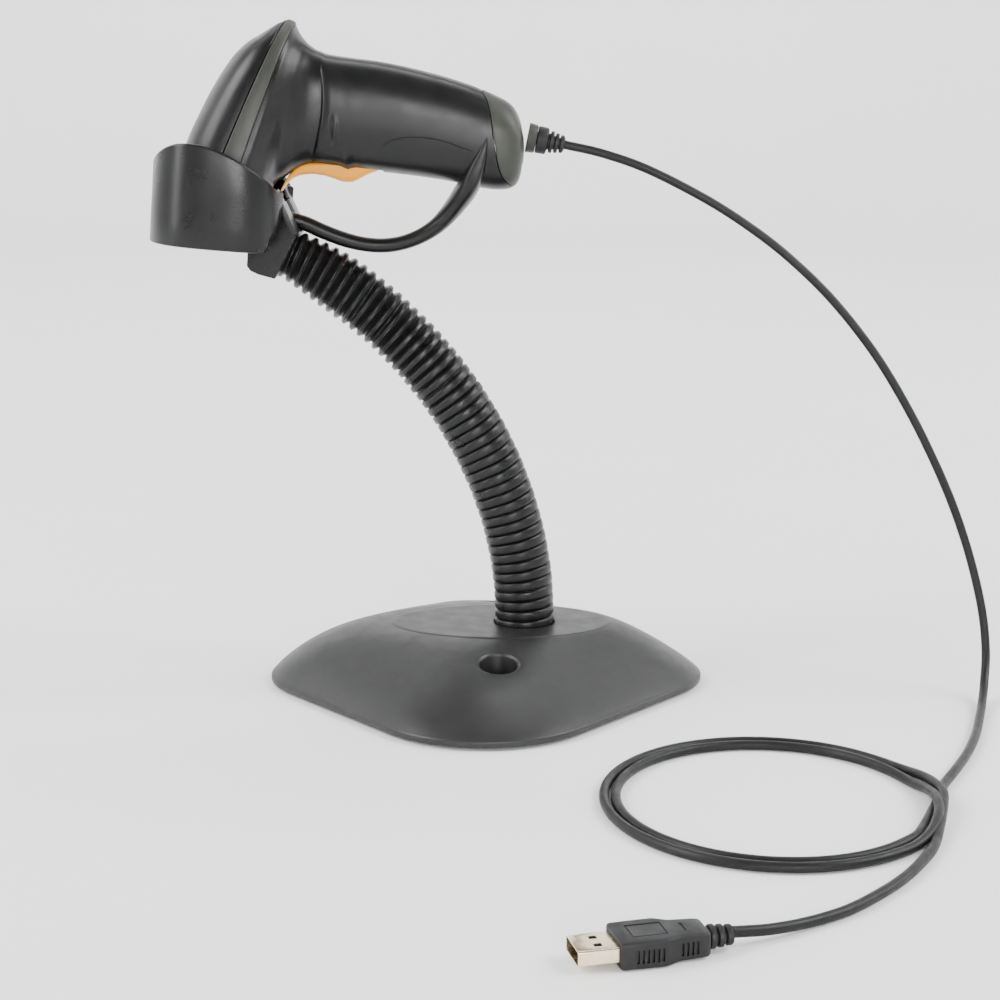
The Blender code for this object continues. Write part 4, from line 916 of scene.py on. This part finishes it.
def make_top_cover():
    rings = []
    for s in tip_stations(44):
        width, start = head_width(s), band_half(s) + SEAM_GAP
        rise = max(along(RISE_BY_ROOT, math.sqrt(s + TIP_OVER)), start + 0.0002)
        thick = min(SHELL, width * 0.45)
        ease = min(0.0003, width * 0.1)
        outer = arc_points(width, rise, start + ease, 72, s)
        outer = [(outer[0][0] + ease, start), *outer, (outer[-1][0] - ease, start)]
        deep = max(rise - thick, start + 0.0001)
        inner = arc_points(max(width - thick, 0.0002), deep, start, 74, s)
        rings.append([head_place(s, y, out) for y, out in outer + inner[::-1]])
    cover = trim_at_rim(loft("head_top_cover", rings, SHELL_BLACK))
    belongs(cover, "scanner", "black_satin", "top_cover")


def band_section(half):
    """The band's section as (across, outwards) points: softly crowned, with round edges."""
    lift, radius = 0.00055, 0.00045
    section = [(-half, -SHELL)]
    for k in range(5):
        angle = math.pi / 2 * k / 4
        section.append((-half + radius * (1 - math.cos(angle)), lift - radius * (1 - math.sin(angle))))
    for k in range(1, 6):
        share = k / 6 * 2 - 1
        section.append((share * (half - radius), lift + 0.00022 * (1 - share * share)))
    for k in range(4, -1, -1):
        angle = math.pi / 2 * k / 4
        section.append((half - radius * (1 - math.cos(angle)), lift - radius * (1 - math.sin(angle))))
    section.append((half, -SHELL))
    return section


def make_band():
    stations = tip_stations(44)
    side = [(s, head_width(s)) for s in stations]
    path = [(s, -y) for s, y in side[::-1]] + [(-TIP_OVER, 0.0)] + side
    rings = []
    for i, (s, y) in enumerate(path):
        before, after = path[max(i - 1, 0)], path[min(i + 1, len(path) - 1)]
        run = Vector((after[0] - before[0], after[1] - before[1])).normalized()
        out = Vector((run.y, -run.x))
        if out.x * (s - 0.05) + out.y * y < 0:
            out = -out
        half = band_half(s) - SEAM_GAP
        reach = min(1.0, (0.35 + abs(y) / 0.004))
        rings.append([head_place(s + out.x * level * (reach if level < 0 else 1), y + out.y * level * (
            reach if level < 0 else 1), across) for across, level in band_section(half)])
    band = trim_at_rim(loft("bumper_strip", rings, OLIVE))
    belongs(band, "scanner", "olive_grey", "bumper_band")


# ---------------------------------------------------------------- housing: flare, handle and end cap
HANDLE_TOP = ((-0.0720, 0.2520), (-0.0623, 0.2481), (-0.0595, 0.2471), (-0.0550, 0.2464), (-0.0400, 0.2444),
              (-0.0250, 0.2413), (-0.0100, 0.2372), (-0.0020, 0.2343), (0.0050, 0.2312), (0.0090, 0.2290),
              (0.0116, 0.2262), (0.0134, 0.2222), (0.0142, 0.2180))
HANDLE_FOOT = ((-0.0720, 0.2060), (-0.0640, 0.2057), (-0.0550, 0.2047), (-0.0400, 0.2030), (-0.0250, 0.2012),
               (-0.0100, 0.1988), (-0.0020, 0.1970), (0.0050, 0.1962), (0.0092, 0.1966), (0.0120, 0.1986),
               (0.0135, 0.2020), (0.0142, 0.2060))
HANDLE_HALF = ((-0.0720, 0.0171), (-0.0640, 0.0173), (-0.0550, 0.0172), (-0.0400, 0.0170), (-0.0250, 0.0168),
               (-0.0100, 0.0164), (-0.0020, 0.0160), (0.0050, 0.0156), (0.0090, 0.0150), (0.0118, 0.0137),
               (0.0135, 0.0118), (0.0142, 0.0095))
FLARE_TOP = ((0.0, -0.07165, 0.25790), (0.18, -0.0702, 0.2549), (0.40, -0.0680, 0.2519), (0.62, -0.0657, 0.2499),
             (0.82, -0.0638, 0.2487), (1.0, -0.0623, 0.2481))
FLARE_FOOT = ((0.0, -0.1040, 0.1684), (0.14, -0.0965, 0.1690), (0.28, -0.0899, 0.1792), (0.42, -0.0856, 0.1883),
              (0.55, -0.0812, 0.1972), (0.66, -0.0770, 0.2004), (0.78, -0.0728, 0.2034), (0.88, -0.0692, 0.2051),
              (1.0, -0.0665, 0.2058))
HEAD_FALL = ((0.0, 0.0500), (0.0250, 0.0480), (0.0400, 0.0370), (0.0480, 0.0265), (0.0550, 0.0200), (0.0620, 0.0165),
             (0.0700, 0.0150), (0.0800, 0.0140), (0.0950, 0.0132))
CAP_SEAM = ((0.0, -0.0016), (0.05, -0.0004), (0.10, 0.0007), (0.25, 0.0022), (0.395, 0.0027), (0.545, 0.0036),
            (0.69, 0.0045), (0.80, 0.0056), (0.895, 0.0075), (0.96, 0.0098), (1.0, 0.0108))
SIDE_POWER = 2.5
RIM_DEEP, RIM_WIDE = 0.0017, 0.0036


def handle_foot(x):
    """The handle's underside, with the small tooth behind the trigger."""
    return along(HANDLE_FOOT, x) - 0.0011 * math.exp(-(((x + 0.0525) / 0.0017) ** 2))


def side_share(v):
    return max(0.0, 1 - abs(2 * v - 1) ** SIDE_POWER) ** (1 / SIDE_POWER)


def crease_x(v):
    return -0.0623 - 0.0042 * v + 0.0029 * math.sin(math.pi * v)


def handle_place(x, v, inset):
    """The handle's surface at x, v of the way from its top to its underside: (x, half width, z)."""
    top, foot, half = along(HANDLE_TOP, x) - inset, handle_foot(x) + inset, along(HANDLE_HALF, x) - inset
    return x, half * side_share(v), top - (top - foot) * v


def pinch_mark(x, z):
    """The short upright crease in the handle's side: a fine valley, then a low swelling to its right."""
    tall = max(0.0, 1 - ((z - 0.2190) / 0.0052) ** 2)
    valley = 0.00050 * math.exp(-(((x + 0.0577) / 0.00042) ** 2))
    swell = 0.00042 * math.exp(-(((x + 0.0562) / 0.00085) ** 2))
    return (swell - valley) * tall


def fall_share(place):
    """How far a place is from the band's plane towards the head's rear surface."""
    away = place - HEAD_TIP
    return max(-away.dot(HEAD_SQUARE), 0.0) / along(HEAD_FALL, away.dot(HEAD_DOWN))


def point_along(table, u):
    """The point in the plane y = 0 read from (share, x, z) rows."""
    return Vector((along([(t, x) for t, x, _ in table], u), 0, along([(t, z) for t, _, z in table], u)))


def flare_place(u, v, inset):
    """The flare between the bumper band (u = 0) and the crease (u = 1)."""
    top, foot = point_along(FLARE_TOP, u), point_along(FLARE_FOOT, u)
    run = (foot - top).normalized() * inset
    place = (top + run).lerp(foot - run, v)
    ends = handle_place(crease_x(0), 0, inset), handle_place(crease_x(1), 1, inset)
    x, half, z = handle_place(crease_x(v), v, inset)
    line = Vector((ends[0][0], 0, ends[0][2])).lerp(Vector((ends[1][0], 0, ends[1][2])), v)
    place += (Vector((x, 0, z)) - line) * u**3
    s = -TIP_OVER + (HEAD_LONG + TIP_OVER) * v
    at_foot = fall_share(foot - run)
    closing = min(max((u - 0.05) / 0.20, 0.0), 1.0)
    full = max(at_foot, 1.0) * (1 - closing) + at_foot * closing
    fall = min(fall_share(place) / full, 1 - 0.5 * (1 - v))
    wide = max(head_width(s) - inset, 0.25 * head_width(s)) * max(0.0, 1 - fall**2.45) ** (1 / 2.45)
    share = max(0.0, (u - 0.07) / 0.93)
    ease = 1 - (1 - share) ** 1.9
    tuck = RIM_DEEP * math.sin(math.pi * v) ** 0.8 if not inset else 0.0
    y = wide * (1 - ease) + (half - tuck * ease) * ease
    return Vector((place.x, max(y, 0.0), place.z))


def ring_round(side):
    """A ring from a side's points: down the near side, and back up the far side."""
    return [Vector((p.x, -p.y, p.z)) for p in side] + [p.copy() for p in side[-2:0:-1]]


def down_the_side(count):
    return [(1 - math.cos(math.pi * k / count)) / 2 for k in range(count + 1)]


def handle_rows():
    """Shares of the way along the handle, close together at the crease and at the pinch mark."""
    rows = [0.0, 0.008, 0.018, 0.030, 0.042, 0.054]
    rows += [0.058 + 0.0042 * k for k in range(15)]
    rows += [0.1225 + (1 - 0.1225) * k / 44 for k in range(45)]
    return rows


def make_housing():
    shares = down_the_side(44)
    outer = [ring_round([flare_place((i / 30) ** 1.15, v, 0.0) for v in shares]) for i in range(30)]
    for row in handle_rows():
        side = []
        for v in shares:
            start, end = crease_x(v), along(CAP_SEAM, v) - 0.0001
            x, half, z = handle_place(start + (end - start) * row, v, 0.0)
            near = min((x - start) / RIM_WIDE, 1.0)
            half -= RIM_DEEP * math.sin(math.pi * v) ** 0.8 * (1 - math.sqrt(1 - (1 - near) ** 2))
            half += pinch_mark(x, z) * min(1.0, half / 0.012)
            side.append(Vector((x, max(half, 0.0), z)))
        outer.append(ring_round(side))
    inner = [ring_round([flare_place(u, v, SHELL) for v in shares]) for u in (0.0, 0.2, 0.4, 0.6, 0.8, 0.93)]
    for row in (0.03, 0.2, 0.4, 0.6, 0.8, 1.0):
        side = []
        for v in shares:
            start, end = crease_x(v), along(CAP_SEAM, v) - 0.0001
            side.append(Vector(handle_place(start + (end - start) * row, v, SHELL)))
        inner.append(ring_round(side))
    housing = loft("handle_shell", outer + inner[::-1], SHELL_BLACK, looped=True)
    slot = [(-0.0900, 0.1850), (-0.0900, 0.1995), (-0.0745, 0.2110), (-0.0400, 0.2110), (-0.0365, 0.1850)]
    change(housing, slab("trigger_slot", slot, TRIGGER_HALF_Y + 0.0006))
    for side in (-1, 1):
        line = ((-0.0386, 0.2134), (-0.0349, 0.2154), (-0.0308, 0.2162), (-0.0263, 0.2165), (-0.0218, 0.2162),
                (-0.0169, 0.2154), (-0.0124, 0.2140), (-0.0094, 0.2128), (-0.0050, 0.2113))
        path = []
        for x, z in line:
            top, foot = along(HANDLE_TOP, x), handle_foot(x)
            path.append(Vector((x, side * (handle_place(x, (top - z) / (top - foot), 0.0)[1] + 0.00006), z)))
        path = smooth_curve(path, 0.0012)
        change(housing, sweep("parting_line", path, 0.00024, None, 8))
    trim_at_rim(housing)
    belongs(housing, "scanner", "black_satin", "handle_housing")


def make_end_cap():
    """The cap on the handle's end, a touch fuller than the handle, with a round end and the boot's bore."""
    shares = down_the_side(40)
    rings = []
    for inset, row in ((0.0014, 0.0), (0.00035, 0.0), (0.00008, 0.006), (-0.00010, 0.03)):
        side = []
        for v in shares:
            start = along(CAP_SEAM, v) + 0.00022
            side.append(Vector(handle_place(start + (0.0142 - start) * row, v, inset)))
        rings.append(ring_round(side))
    for row in (0.08, 0.16, 0.26, 0.36, 0.46, 0.56, 0.66, 0.75, 0.82, 0.88, 0.93, 0.97, 1.0):
        side = []
        for v in shares:
            start = along(CAP_SEAM, v) + 0.00022
            side.append(Vector(handle_place(start + (0.0142 - start) * row, v, -0.00012)))
        rings.append(ring_round(side))
    last = rings[-1]
    centre = sum(last, Vector()) / len(last)
    for shrink, bulge in ((0.86, 0.00030), (0.66, 0.00050), (0.42, 0.00060), (0.12, 0.00064)):
        rings.append([centre + (p - centre) * shrink + Vector((bulge, 0, 0)) for p in last])
    cap = loft("handle_end_cap", rings, OLIVE)
    drop = math.radians(HANDLE_DROP)
    way = Vector((math.cos(drop), 0, -math.sin(drop)))
    bore = sweep("boot_bore", [BOOT_START - way * 0.012, BOOT_START + way * 0.006], 0.0037, None, 32)
    change(cap, bore)
    belongs(cap, "scanner", "olive_grey", "end_cap")


# ---------------------------------------------------------------- trigger and finger guard
TRIGGER_UNDER = ((-0.0782, 0.1957), (-0.0762, 0.1984), (-0.0735, 0.2006), (-0.0700, 0.2018), (-0.0660, 0.2021),
                 (-0.0620, 0.2016), (-0.0575, 0.2002), (-0.0545, 0.1992), (-0.0515, 0.1990), (-0.0485, 0.2002),
                 (-0.0450, 0.2020), (-0.0412, 0.2034))
TRIGGER_OVER = ((-0.0782, 0.1966), (-0.0762, 0.2003), (-0.0735, 0.2040), (-0.0700, 0.2068), (-0.0560, 0.2082),
                (-0.0470, 0.2098), (-0.0412, 0.2092))


def make_trigger():
    rings = []
    stations = [-0.0782, -0.0778, -0.0772, *(-0.0764 + 0.00135 * k for k in range(26)), -0.0414]
    for x in stations:
        low, high = along(TRIGGER_UNDER, x), along(TRIGGER_OVER, x)
        wide = TRIGGER_HALF_Y * min(1.0, 0.80 + (x + 0.0782) / 0.006)
        ring = []
        for k in range(44):
            share_y, share_z = rounded(math.cos(2 * math.pi * k / 44), math.sin(2 * math.pi * k / 44), 3.2)
            ring.append(Vector((x, wide * share_y, (low + high) / 2 + (high - low) / 2 * share_z)))
        rings.append(ring)
    trigger = loft("trigger_lever", rings, AMBER, angle=50)
    pivot = [Vector((-0.0440, y, 0.2072)) for y in (-0.02, 0.02)]
    change(trigger, sweep("pivot_hole", pivot, 0.0013, None, 24))
    belongs(trigger, "trigger", "amber", "trigger")


def make_guard():
    """The finger guard: a round bar under the trigger that widens into a saddle and a pointed leaf each side."""
    # (x, z, half thickness, half width, squareness)
    stations = (
        (-0.0848, 0.1872, 0.0027, 0.0034, 2.0), (-0.0780, 0.1856, 0.0028, 0.0031, 2.0),
        (-0.0700, 0.1834, 0.0029, 0.0029, 2.0), (-0.0630, 0.1803, 0.0029, 0.0029, 2.0),
        (-0.0560, 0.1776, 0.0029, 0.0029, 2.0), (-0.0486, 0.1756, 0.0028, 0.0029, 2.0),
        (-0.0408, 0.1748, 0.0028, 0.0029, 2.0), (-0.0331, 0.1756, 0.0028, 0.0030, 2.0),
        (-0.0254, 0.1783, 0.0029, 0.0033, 2.0), (-0.0190, 0.1823, 0.0032, 0.0042, 2.1),
        (-0.0144, 0.1868, 0.0036, 0.0066, 2.3), (-0.0108, 0.1914, 0.0040, 0.0104, 2.6),
        (-0.0080, 0.1953, 0.0043, 0.0146, 3.0), (-0.0058, 0.1990, 0.0042, 0.0170, 3.6),
        (-0.0038, 0.2032, 0.0037, 0.01745, 4.2), (-0.0020, 0.2076, 0.0029, 0.01735, 4.6),
        (-0.0006, 0.2114, 0.0019, 0.0172, 4.8), (0.0002, 0.2142, 0.0010, 0.0169, 5.0),
        (0.0006, 0.2162, 0.0003, 0.0163, 5.0),
    )
    marks = range(len(stations))
    tracks = [[(m, row[k]) for m, row in zip(marks, stations)] for k in range(2, 5)]
    line = smooth_curve([(x, 0, z) for x, z, *_ in stations], 0.0016)
    stops = [0.0]
    for a, b in zip(stations, stations[1:]):
        stops.append(stops[-1] + math.hypot(b[0] - a[0], b[1] - a[1]))
    rings = []
    for i, place in enumerate(line):
        way = (line[min(i + 1, len(line) - 1)] - line[max(i - 1, 0)]).normalized()
        reach = i / (len(line) - 1) * stops[-1]
        mark = along([(stop, m) for stop, m in zip(stops, marks)], reach)
        thick, wide, power = (along(track, mark) for track in tracks)
        up = Y_AXIS.cross(way)
        ring = []
        for k in range(56):
            share_y, share_z = rounded(math.cos(2 * math.pi * k / 56), math.sin(2 * math.pi * k / 56), power)
            ring.append(place + Y_AXIS * wide * share_y + up * thick * share_z)
        rings.append(ring)
    guard = loft("finger_guard", rings, SHELL_BLACK, angle=60)
    belongs(guard, "scanner", "black_satin", "trigger_guard")


# ---------------------------------------------------------------- boot, collar and window
def make_cord_entry():
    drop = math.radians(HANDLE_DROP)
    way = Vector((math.cos(drop), 0, -math.sin(drop)))
    turn = Matrix.Translation(BOOT_START) @ way.to_track_quat("Z", "Y").to_matrix().to_4x4()
    collar = [(0.0022, 0.0036), (0.0048, 0.0036), (0.0052, 0.0034), (0.0054, 0.0030), (0.0056, 0.0008),
              (0.0057, 0.0003), (0.0056, 0.0001), (0.0022, 0.0001)]
    belongs(turned("boot_collar", collar, turn, OLIVE, 72, 35), "scanner", "olive_grey", "cord_collar")
    profile = [(0.0018, 0.0146), (0.0023, 0.0146), (0.0026, 0.0144)]
    for k, radius in enumerate((0.0034, 0.0038, 0.0042)):
        high = 0.0141 - 0.0020 * k
        profile += [(radius - 0.0002, high), (radius, high - 0.0002), (radius, high - 0.0011),
                    (radius - 0.0002, high - 0.0013), (radius - 0.0011, high - 0.00145),
                    (radius - 0.0011, high - 0.0019)]
    profile += [(0.0044, 0.0079), (0.0049, 0.0077), (0.0051, 0.0073), (0.0052, 0.0045), (0.0051, 0.0040),
                (0.0048, 0.0038), (0.0018, 0.0038)]
    belongs(turned("ribbed_boot", profile, turn, RUBBER_BLACK, 72, 35), "scanner", "black_rubber", "cord_boot")


def make_nub():
    """The small dark red tab that shows just under the window."""
    tilt = Matrix.Rotation(math.radians(CRADLE_TILT), 4, "Y")
    place = Matrix.Translation(cradle_place(0.0006, 0.0)) @ tilt
    profile = [(0.0026, 0.0033), (0.0026, 0.0020), (0.0024, 0.0008), (0.0018, -0.0002), (0.0009, -0.0008),
               (0.0002, -0.0009)]
    belongs(turned("window_tab", profile, place, RED_FILTER, 32), "scanner", "red_window")


def make_soft_copies():
    copies = (
        ("cradle_bracket", "neck_bracket", CUP_BLACK, 0.0006, "cradle", "black_satin"),
        ("window_bezel", "window_frame", MATT_BLACK, 0.0003, "scanner", "black_matt"),
        ("switch_body", "switch_case", MATT_BLACK, 0.0002, "scanner", "black_matt"),
        ("decoder_chip", "decoder_package", MATT_BLACK, 0.0001, "scanner", "black_matt"),
        ("cord_jack", "cord_socket", MATT_BLACK, 0.0003, "scanner", "black_matt"),
    )
    for node, name, finish, width, body, slot in copies:
        belongs(soft_copy(node, name, finish, width), body, slot, node)


def make_spring():
    """The return spring: a wire helix, which the trigger turns up against."""
    x, low, high = SPRING_X, SPRING_FOOT, SPRING_HEAD
    wire, reach, turns, steps = 0.00022, 0.00135, 6.5, 20
    points = []
    for i in range(round(turns * steps) + 1):
        angle = 2 * math.pi * i / steps
        rise = low + wire + (high - low - 2 * wire) * i / (turns * steps)
        points.append(Vector((x + reach * math.cos(angle), reach * math.sin(angle), rise)))
    spring = sweep("return_spring", points, wire, STEEL, 8)
    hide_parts("trigger_spring")
    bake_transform(spring)


# ---------------------------------------------------------------- lead
BOW_ROUTE = (
    (0.0304, 0.0000, 0.2132),
    (0.0450, 0.0000, 0.2099),
    (0.0628, 0.0000, 0.2037),
    (0.0856, -0.0005, 0.1922),
    (0.1036, -0.0010, 0.1808),
    (0.1186, -0.0018, 0.1692),
    (0.1348, -0.0028, 0.1537),
    (0.1508, -0.0042, 0.1341),
    (0.1635, -0.0056, 0.1143),
    (0.1742, -0.0072, 0.0944),
    (0.1834, -0.0090, 0.0742),
    (0.1906, -0.0112, 0.0538),
    (0.1956, -0.0145, 0.0332),
    (0.1970, -0.0185, 0.0175),
    (0.1949, -0.0270, 0.0072),
    (0.1912, -0.0400, 0.0028),
    (0.1868, -0.0550, 0.0018),
    (0.1804, -0.0760, 0.0018),
    (0.1724, -0.0970, 0.0018),
    (0.1636, -0.1160, 0.0018),
    (0.1572, -0.1290, 0.0018),
    (0.1535, -0.1400, 0.0018),
)
TAIL_ROUTE = (
    (0.1428, -0.1830, 0.0018),
    (0.1350, -0.1990, 0.0018),
    (0.1267, -0.2122, 0.0018),
    (0.1172, -0.2240, 0.0018),
    (0.1060, -0.2355, 0.0018),
    (0.0930, -0.2445, 0.0020),
    (0.0810, -0.2515, 0.0030),
    (0.0704, -0.2556, 0.0041),
)
# Where the bow is divided, as arc lengths from the boot, and the bodies that each stretch joins.
BOW_PARTS = (
    (0.000, 0.062, "scanner", "cradle"),
    (0.062, 0.112, "cradle", "neck_upper"),
    (0.112, 0.167, "neck_upper", "neck_middle"),
    (0.167, 0.227, "neck_middle", "neck_lower"),
    (0.227, 0.277, "neck_lower", "stand"),
)
COIL_REST = 0.0019


def hump(value, centre, half):
    share = min(abs(value - centre) / half, 1.0)
    return 0.5 * (1 + math.cos(math.pi * share))


def coil_points():
    """Two turns clockwise from the right: the first inside the second, and both over the strand that enters."""
    inner, outer = 0.905, 0.974
    points = []
    for angle in range(-32, -731, -12):
        if angle > -335:
            share = inner
        elif angle > -400:
            share = inner + (outer - inner) * 0.5 * (1 - math.cos(math.pi * (-335 - angle) / 65))
        elif angle > -690:
            share = outer
        else:
            share = outer + 0.010 * ((-690 - angle) / 45) ** 1.5
        turn = math.radians(angle)
        lift = 0.0037 * (hump(angle, -372, 34) + hump(angle, -721, 38))
        points.append((COIL_CENTRE[0] + share * COIL_HALF_X * math.cos(turn),
                       COIL_CENTRE[1] + share * COIL_HALF_Y * math.sin(turn), COIL_REST + lift))
    return points


def cord_tube(name, path, sides=18):
    """A tube with its length and its round as a texture map, for the jacket's lines."""
    item = sweep(name, path, CORD_DIAMETER / 2, CORD_BLACK, sides)
    mesh = item.data
    chart = mesh.uv_layers.new(name="lead")
    stops = [0.0]
    for a, b in zip(path, path[1:]):
        stops.append(stops[-1] + (b - a).length)
    for loop in mesh.loops:
        ring, k = divmod(loop.vertex_index, sides)
        chart.data[loop.index].uv = (stops[min(ring, len(stops) - 1)] / 0.01, k / sides)
    return item


def make_lead():
    """The whole lead: five stretches of the bow, then the stretch on the counter."""
    spacing = 0.0035
    rest = CORD_DIAMETER / 2 + 0.0001
    path = smooth_curve([*BOW_ROUTE, *coil_points(), *TAIL_ROUTE], spacing)
    path = [Vector((p.x, p.y, max(p.z, rest))) for p in path]
    spacing = path_length(path) / (len(path) - 1)
    for number, (start, end, first, second) in enumerate(BOW_PARTS):
        low, high = round(start / spacing), round(end / spacing)
        part = path[low:high + 1]
        item = cord_tube(f"lead_bow_{number + 1}", part)
        if number == 0:
            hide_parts("cord_bow")
        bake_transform(item)
    part = path[round(BOW_PARTS[-1][1] / spacing):]
    item = cord_tube("lead_on_counter", part)
    belongs(item, "stand", "cord_black", "cord_floor_lead", "cord_coil", "cord_tail")
    return item, part


# ---------------------------------------------------------------- USB plug
def plug_matrix(forward, rise=0.0, y=0.0):
    yaw = Matrix.Rotation(math.radians(PLUG_YAW), 4, "Z")
    return Matrix.Translation((*PLUG_MOUTH, PLUG_Z)) @ yaw @ Matrix.Translation((forward, y, rise))


def box_ring(forward, half_y, half_z, corner, steps=4):
    """A rounded rectangle across the plug."""
    ring = []
    for quarter in range(4):
        sign_y, sign_z = ((1, 1), (-1, 1), (-1, -1), (1, -1))[quarter]
        for k in range(steps + 1):
            angle = math.pi / 2 * (quarter + k / steps)
            y = sign_y * (half_y - corner) + corner * math.cos(angle)
            z = sign_z * (half_z - corner) + corner * math.sin(angle)
            ring.append(plug_matrix(forward, z, y).translation)
    return ring


def make_plug():
    length, width, height = PLUG_SHELL
    outer = [box_ring(x, width / 2 - d, height / 2 - d, 0.0006) for x, d in
             ((0.0001, 0.00012), (0.00025, 0.0), (length, 0.0))]
    inner = [box_ring(x, width / 2 - 0.00032, height / 2 - 0.00032, 0.0004) for x in (length, 0.0001)]
    shell = loft("plug_metal_shell", outer + inner, PLUG_METAL, looped=True)
    for y in (-0.00255, 0.00255):
        for z in (-1, 1):
            window = block("window_cut", (0.0023, 0.0020, 0.0014), plug_matrix(0.0066, z * height / 2, y), None)
            change(shell, window)
    belongs(shell, "stand", "plug_metal", "plug_shell")
    tongue = block("plug_contact_tongue", (0.0102, 0.0108, 0.0017), plug_matrix(0.0102 / 2 + 0.0012, 0.00085),
                   MATT_BLACK, 0.00015, 2)
    belongs(tongue, "stand", "black_matt", "plug_tongue")
    lining = block("plug_spring_plate", (0.0080, 0.0104, 0.0006), plug_matrix(0.0068, -0.0013), MATT_BLACK, 0.0001, 2)
    belongs(lining, "stand", "black_matt")
    for number in range(4):
        y = (number - 1.5) * 0.0023
        strip = block(f"plug_contact_{number + 1}", (0.0078, 0.0010, 0.00022), plug_matrix(0.0056, -0.00012, y),
                      BRASS, 0.00008, 2)
        belongs(strip, "stand", "plug_metal")

    stations = ((0.01195, 0.00735, 0.00360), (0.01215, 0.00765, 0.00388), (0.0126, 0.0078, 0.0040),
                (0.0180, 0.0079, 0.0041), (0.0246, 0.0079, 0.0041), (0.0252, 0.00785, 0.0041),
                (0.0290, 0.0062, 0.0039), (0.0298, 0.0060, 0.0039), (0.0360, 0.0058, 0.0037),
                (0.0376, 0.0056, 0.0036), (0.0383, 0.0051, 0.0033), (0.0385, 0.0046, 0.0029))
    rings = [box_ring(x, half_y, half_z, min(0.0011, half_z * 0.3)) for x, half_y, half_z in stations]
    body = loft("plug_overmould", rings, RUBBER_BLACK, angle=30)
    for side in (-1, 1):
        for k in range(6):
            notch = block("grip_cut", (0.00075, 0.0016, 0.0038),
                          plug_matrix(0.0166 + 0.00145 * k, -0.0003, side * 0.0079), None)
            change(body, notch, angle=30)
        for k in range(4):
            notch = block("grip_cut", (0.00075, 0.0016, 0.0038),
                          plug_matrix(0.0300 + 0.00145 * k, -0.0003, side * 0.0059), None)
            change(body, notch, angle=30)
    for forward, half_x, half_y in ((0.0212, 0.0052, 0.0040),):
        frame_cut = block("panel_cut", (2 * half_x, 2 * half_y, 0.0006), plug_matrix(forward, 0.0041), None)
        change(body, frame_cut, angle=30)
        panel = block("panel_rise", (2 * half_x - 0.0010, 2 * half_y - 0.0010, 0.0012),
                      plug_matrix(forward, 0.0034), None)
        change(body, panel, "UNION", angle=30)
    bar = block("tick_cut", (0.0008, 0.0052, 0.0007), plug_matrix(0.0318, 0.0039), None)
    change(body, bar, angle=30)
    belongs(body, "stand", "black_rubber", "plug_body")

    profile = [(0.0024, 0.0463), (0.0027, 0.0462)]
    for k in range(3):
        high, size = 0.0460 - 0.0025 * k, 0.0030 + 0.00025 * k
        profile += [(size - 0.0003, high), (size, high - 0.0003), (size, high - 0.0013), (size - 0.0002, high - 0.0016),
                    (size - 0.0010, high - 0.0018), (size - 0.0010, high - 0.0024)]
    profile += [(0.0030, 0.0384), (0.0030, 0.0378)]
    turn = plug_matrix(0) @ Matrix.Rotation(math.radians(90), 4, "Y")
    relief = turned("plug_strain_relief", profile, turn, RUBBER_BLACK, 40, 35)
    belongs(relief, "stand", "black_rubber", "plug_relief")
    return [shell, tongue, lining, body, relief]


# ---------------------------------------------------------------- carried-over CAD nodes
def dress(finish, *nodes):
    """Gives CAD nodes that still show a procedural finish."""
    for name in nodes:
        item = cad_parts[name]
        item.data.materials.clear()
        item.data.materials.append(finish)


def dress_the_rest():
    """Finishes for the CAD nodes that no finer piece replaces."""
    dress(MATT_BLACK, "photodiode", "beeper", "board_post")
    dress(AMBER, "switch_plunger")
    dress(PAD_RUBBER, "anti_slip_pad")
    dress(STEEL, "base_plate", "neck_nut", "base_screw_1", "base_screw_2", "base_screw_3", "trigger_pin",
          "mirror_post", "mirror_magnet", "case_screw_1", "case_screw_2")
    dress(CAST_IRON, "base_weight")
    dress(CAST_ALLOY, "engine_chassis")
    dress(MIRROR, "scan_mirror", "collecting_mirror")
    dress(COPPER, "drive_coil")
    dress(BRASS, "laser_module")
    dress(BOARD, "main_board")
    dress(RED_FILTER, "scan_window")
    dress(LIGHT_PIPE, "status_light")
    dress(CLEAR_PLASTIC, "cord_inner_plug")


make_camera()
make_floor()
make_lights()
make_base()
make_neck()
make_cup()
make_top_cover()
make_band()
make_housing()
make_end_cap()
make_trigger()
make_guard()
make_cord_entry()
make_nub()
make_soft_copies()
make_spring()
counter_lead, counter_path = make_lead()
plug_pieces = make_plug()
dress_the_rest()
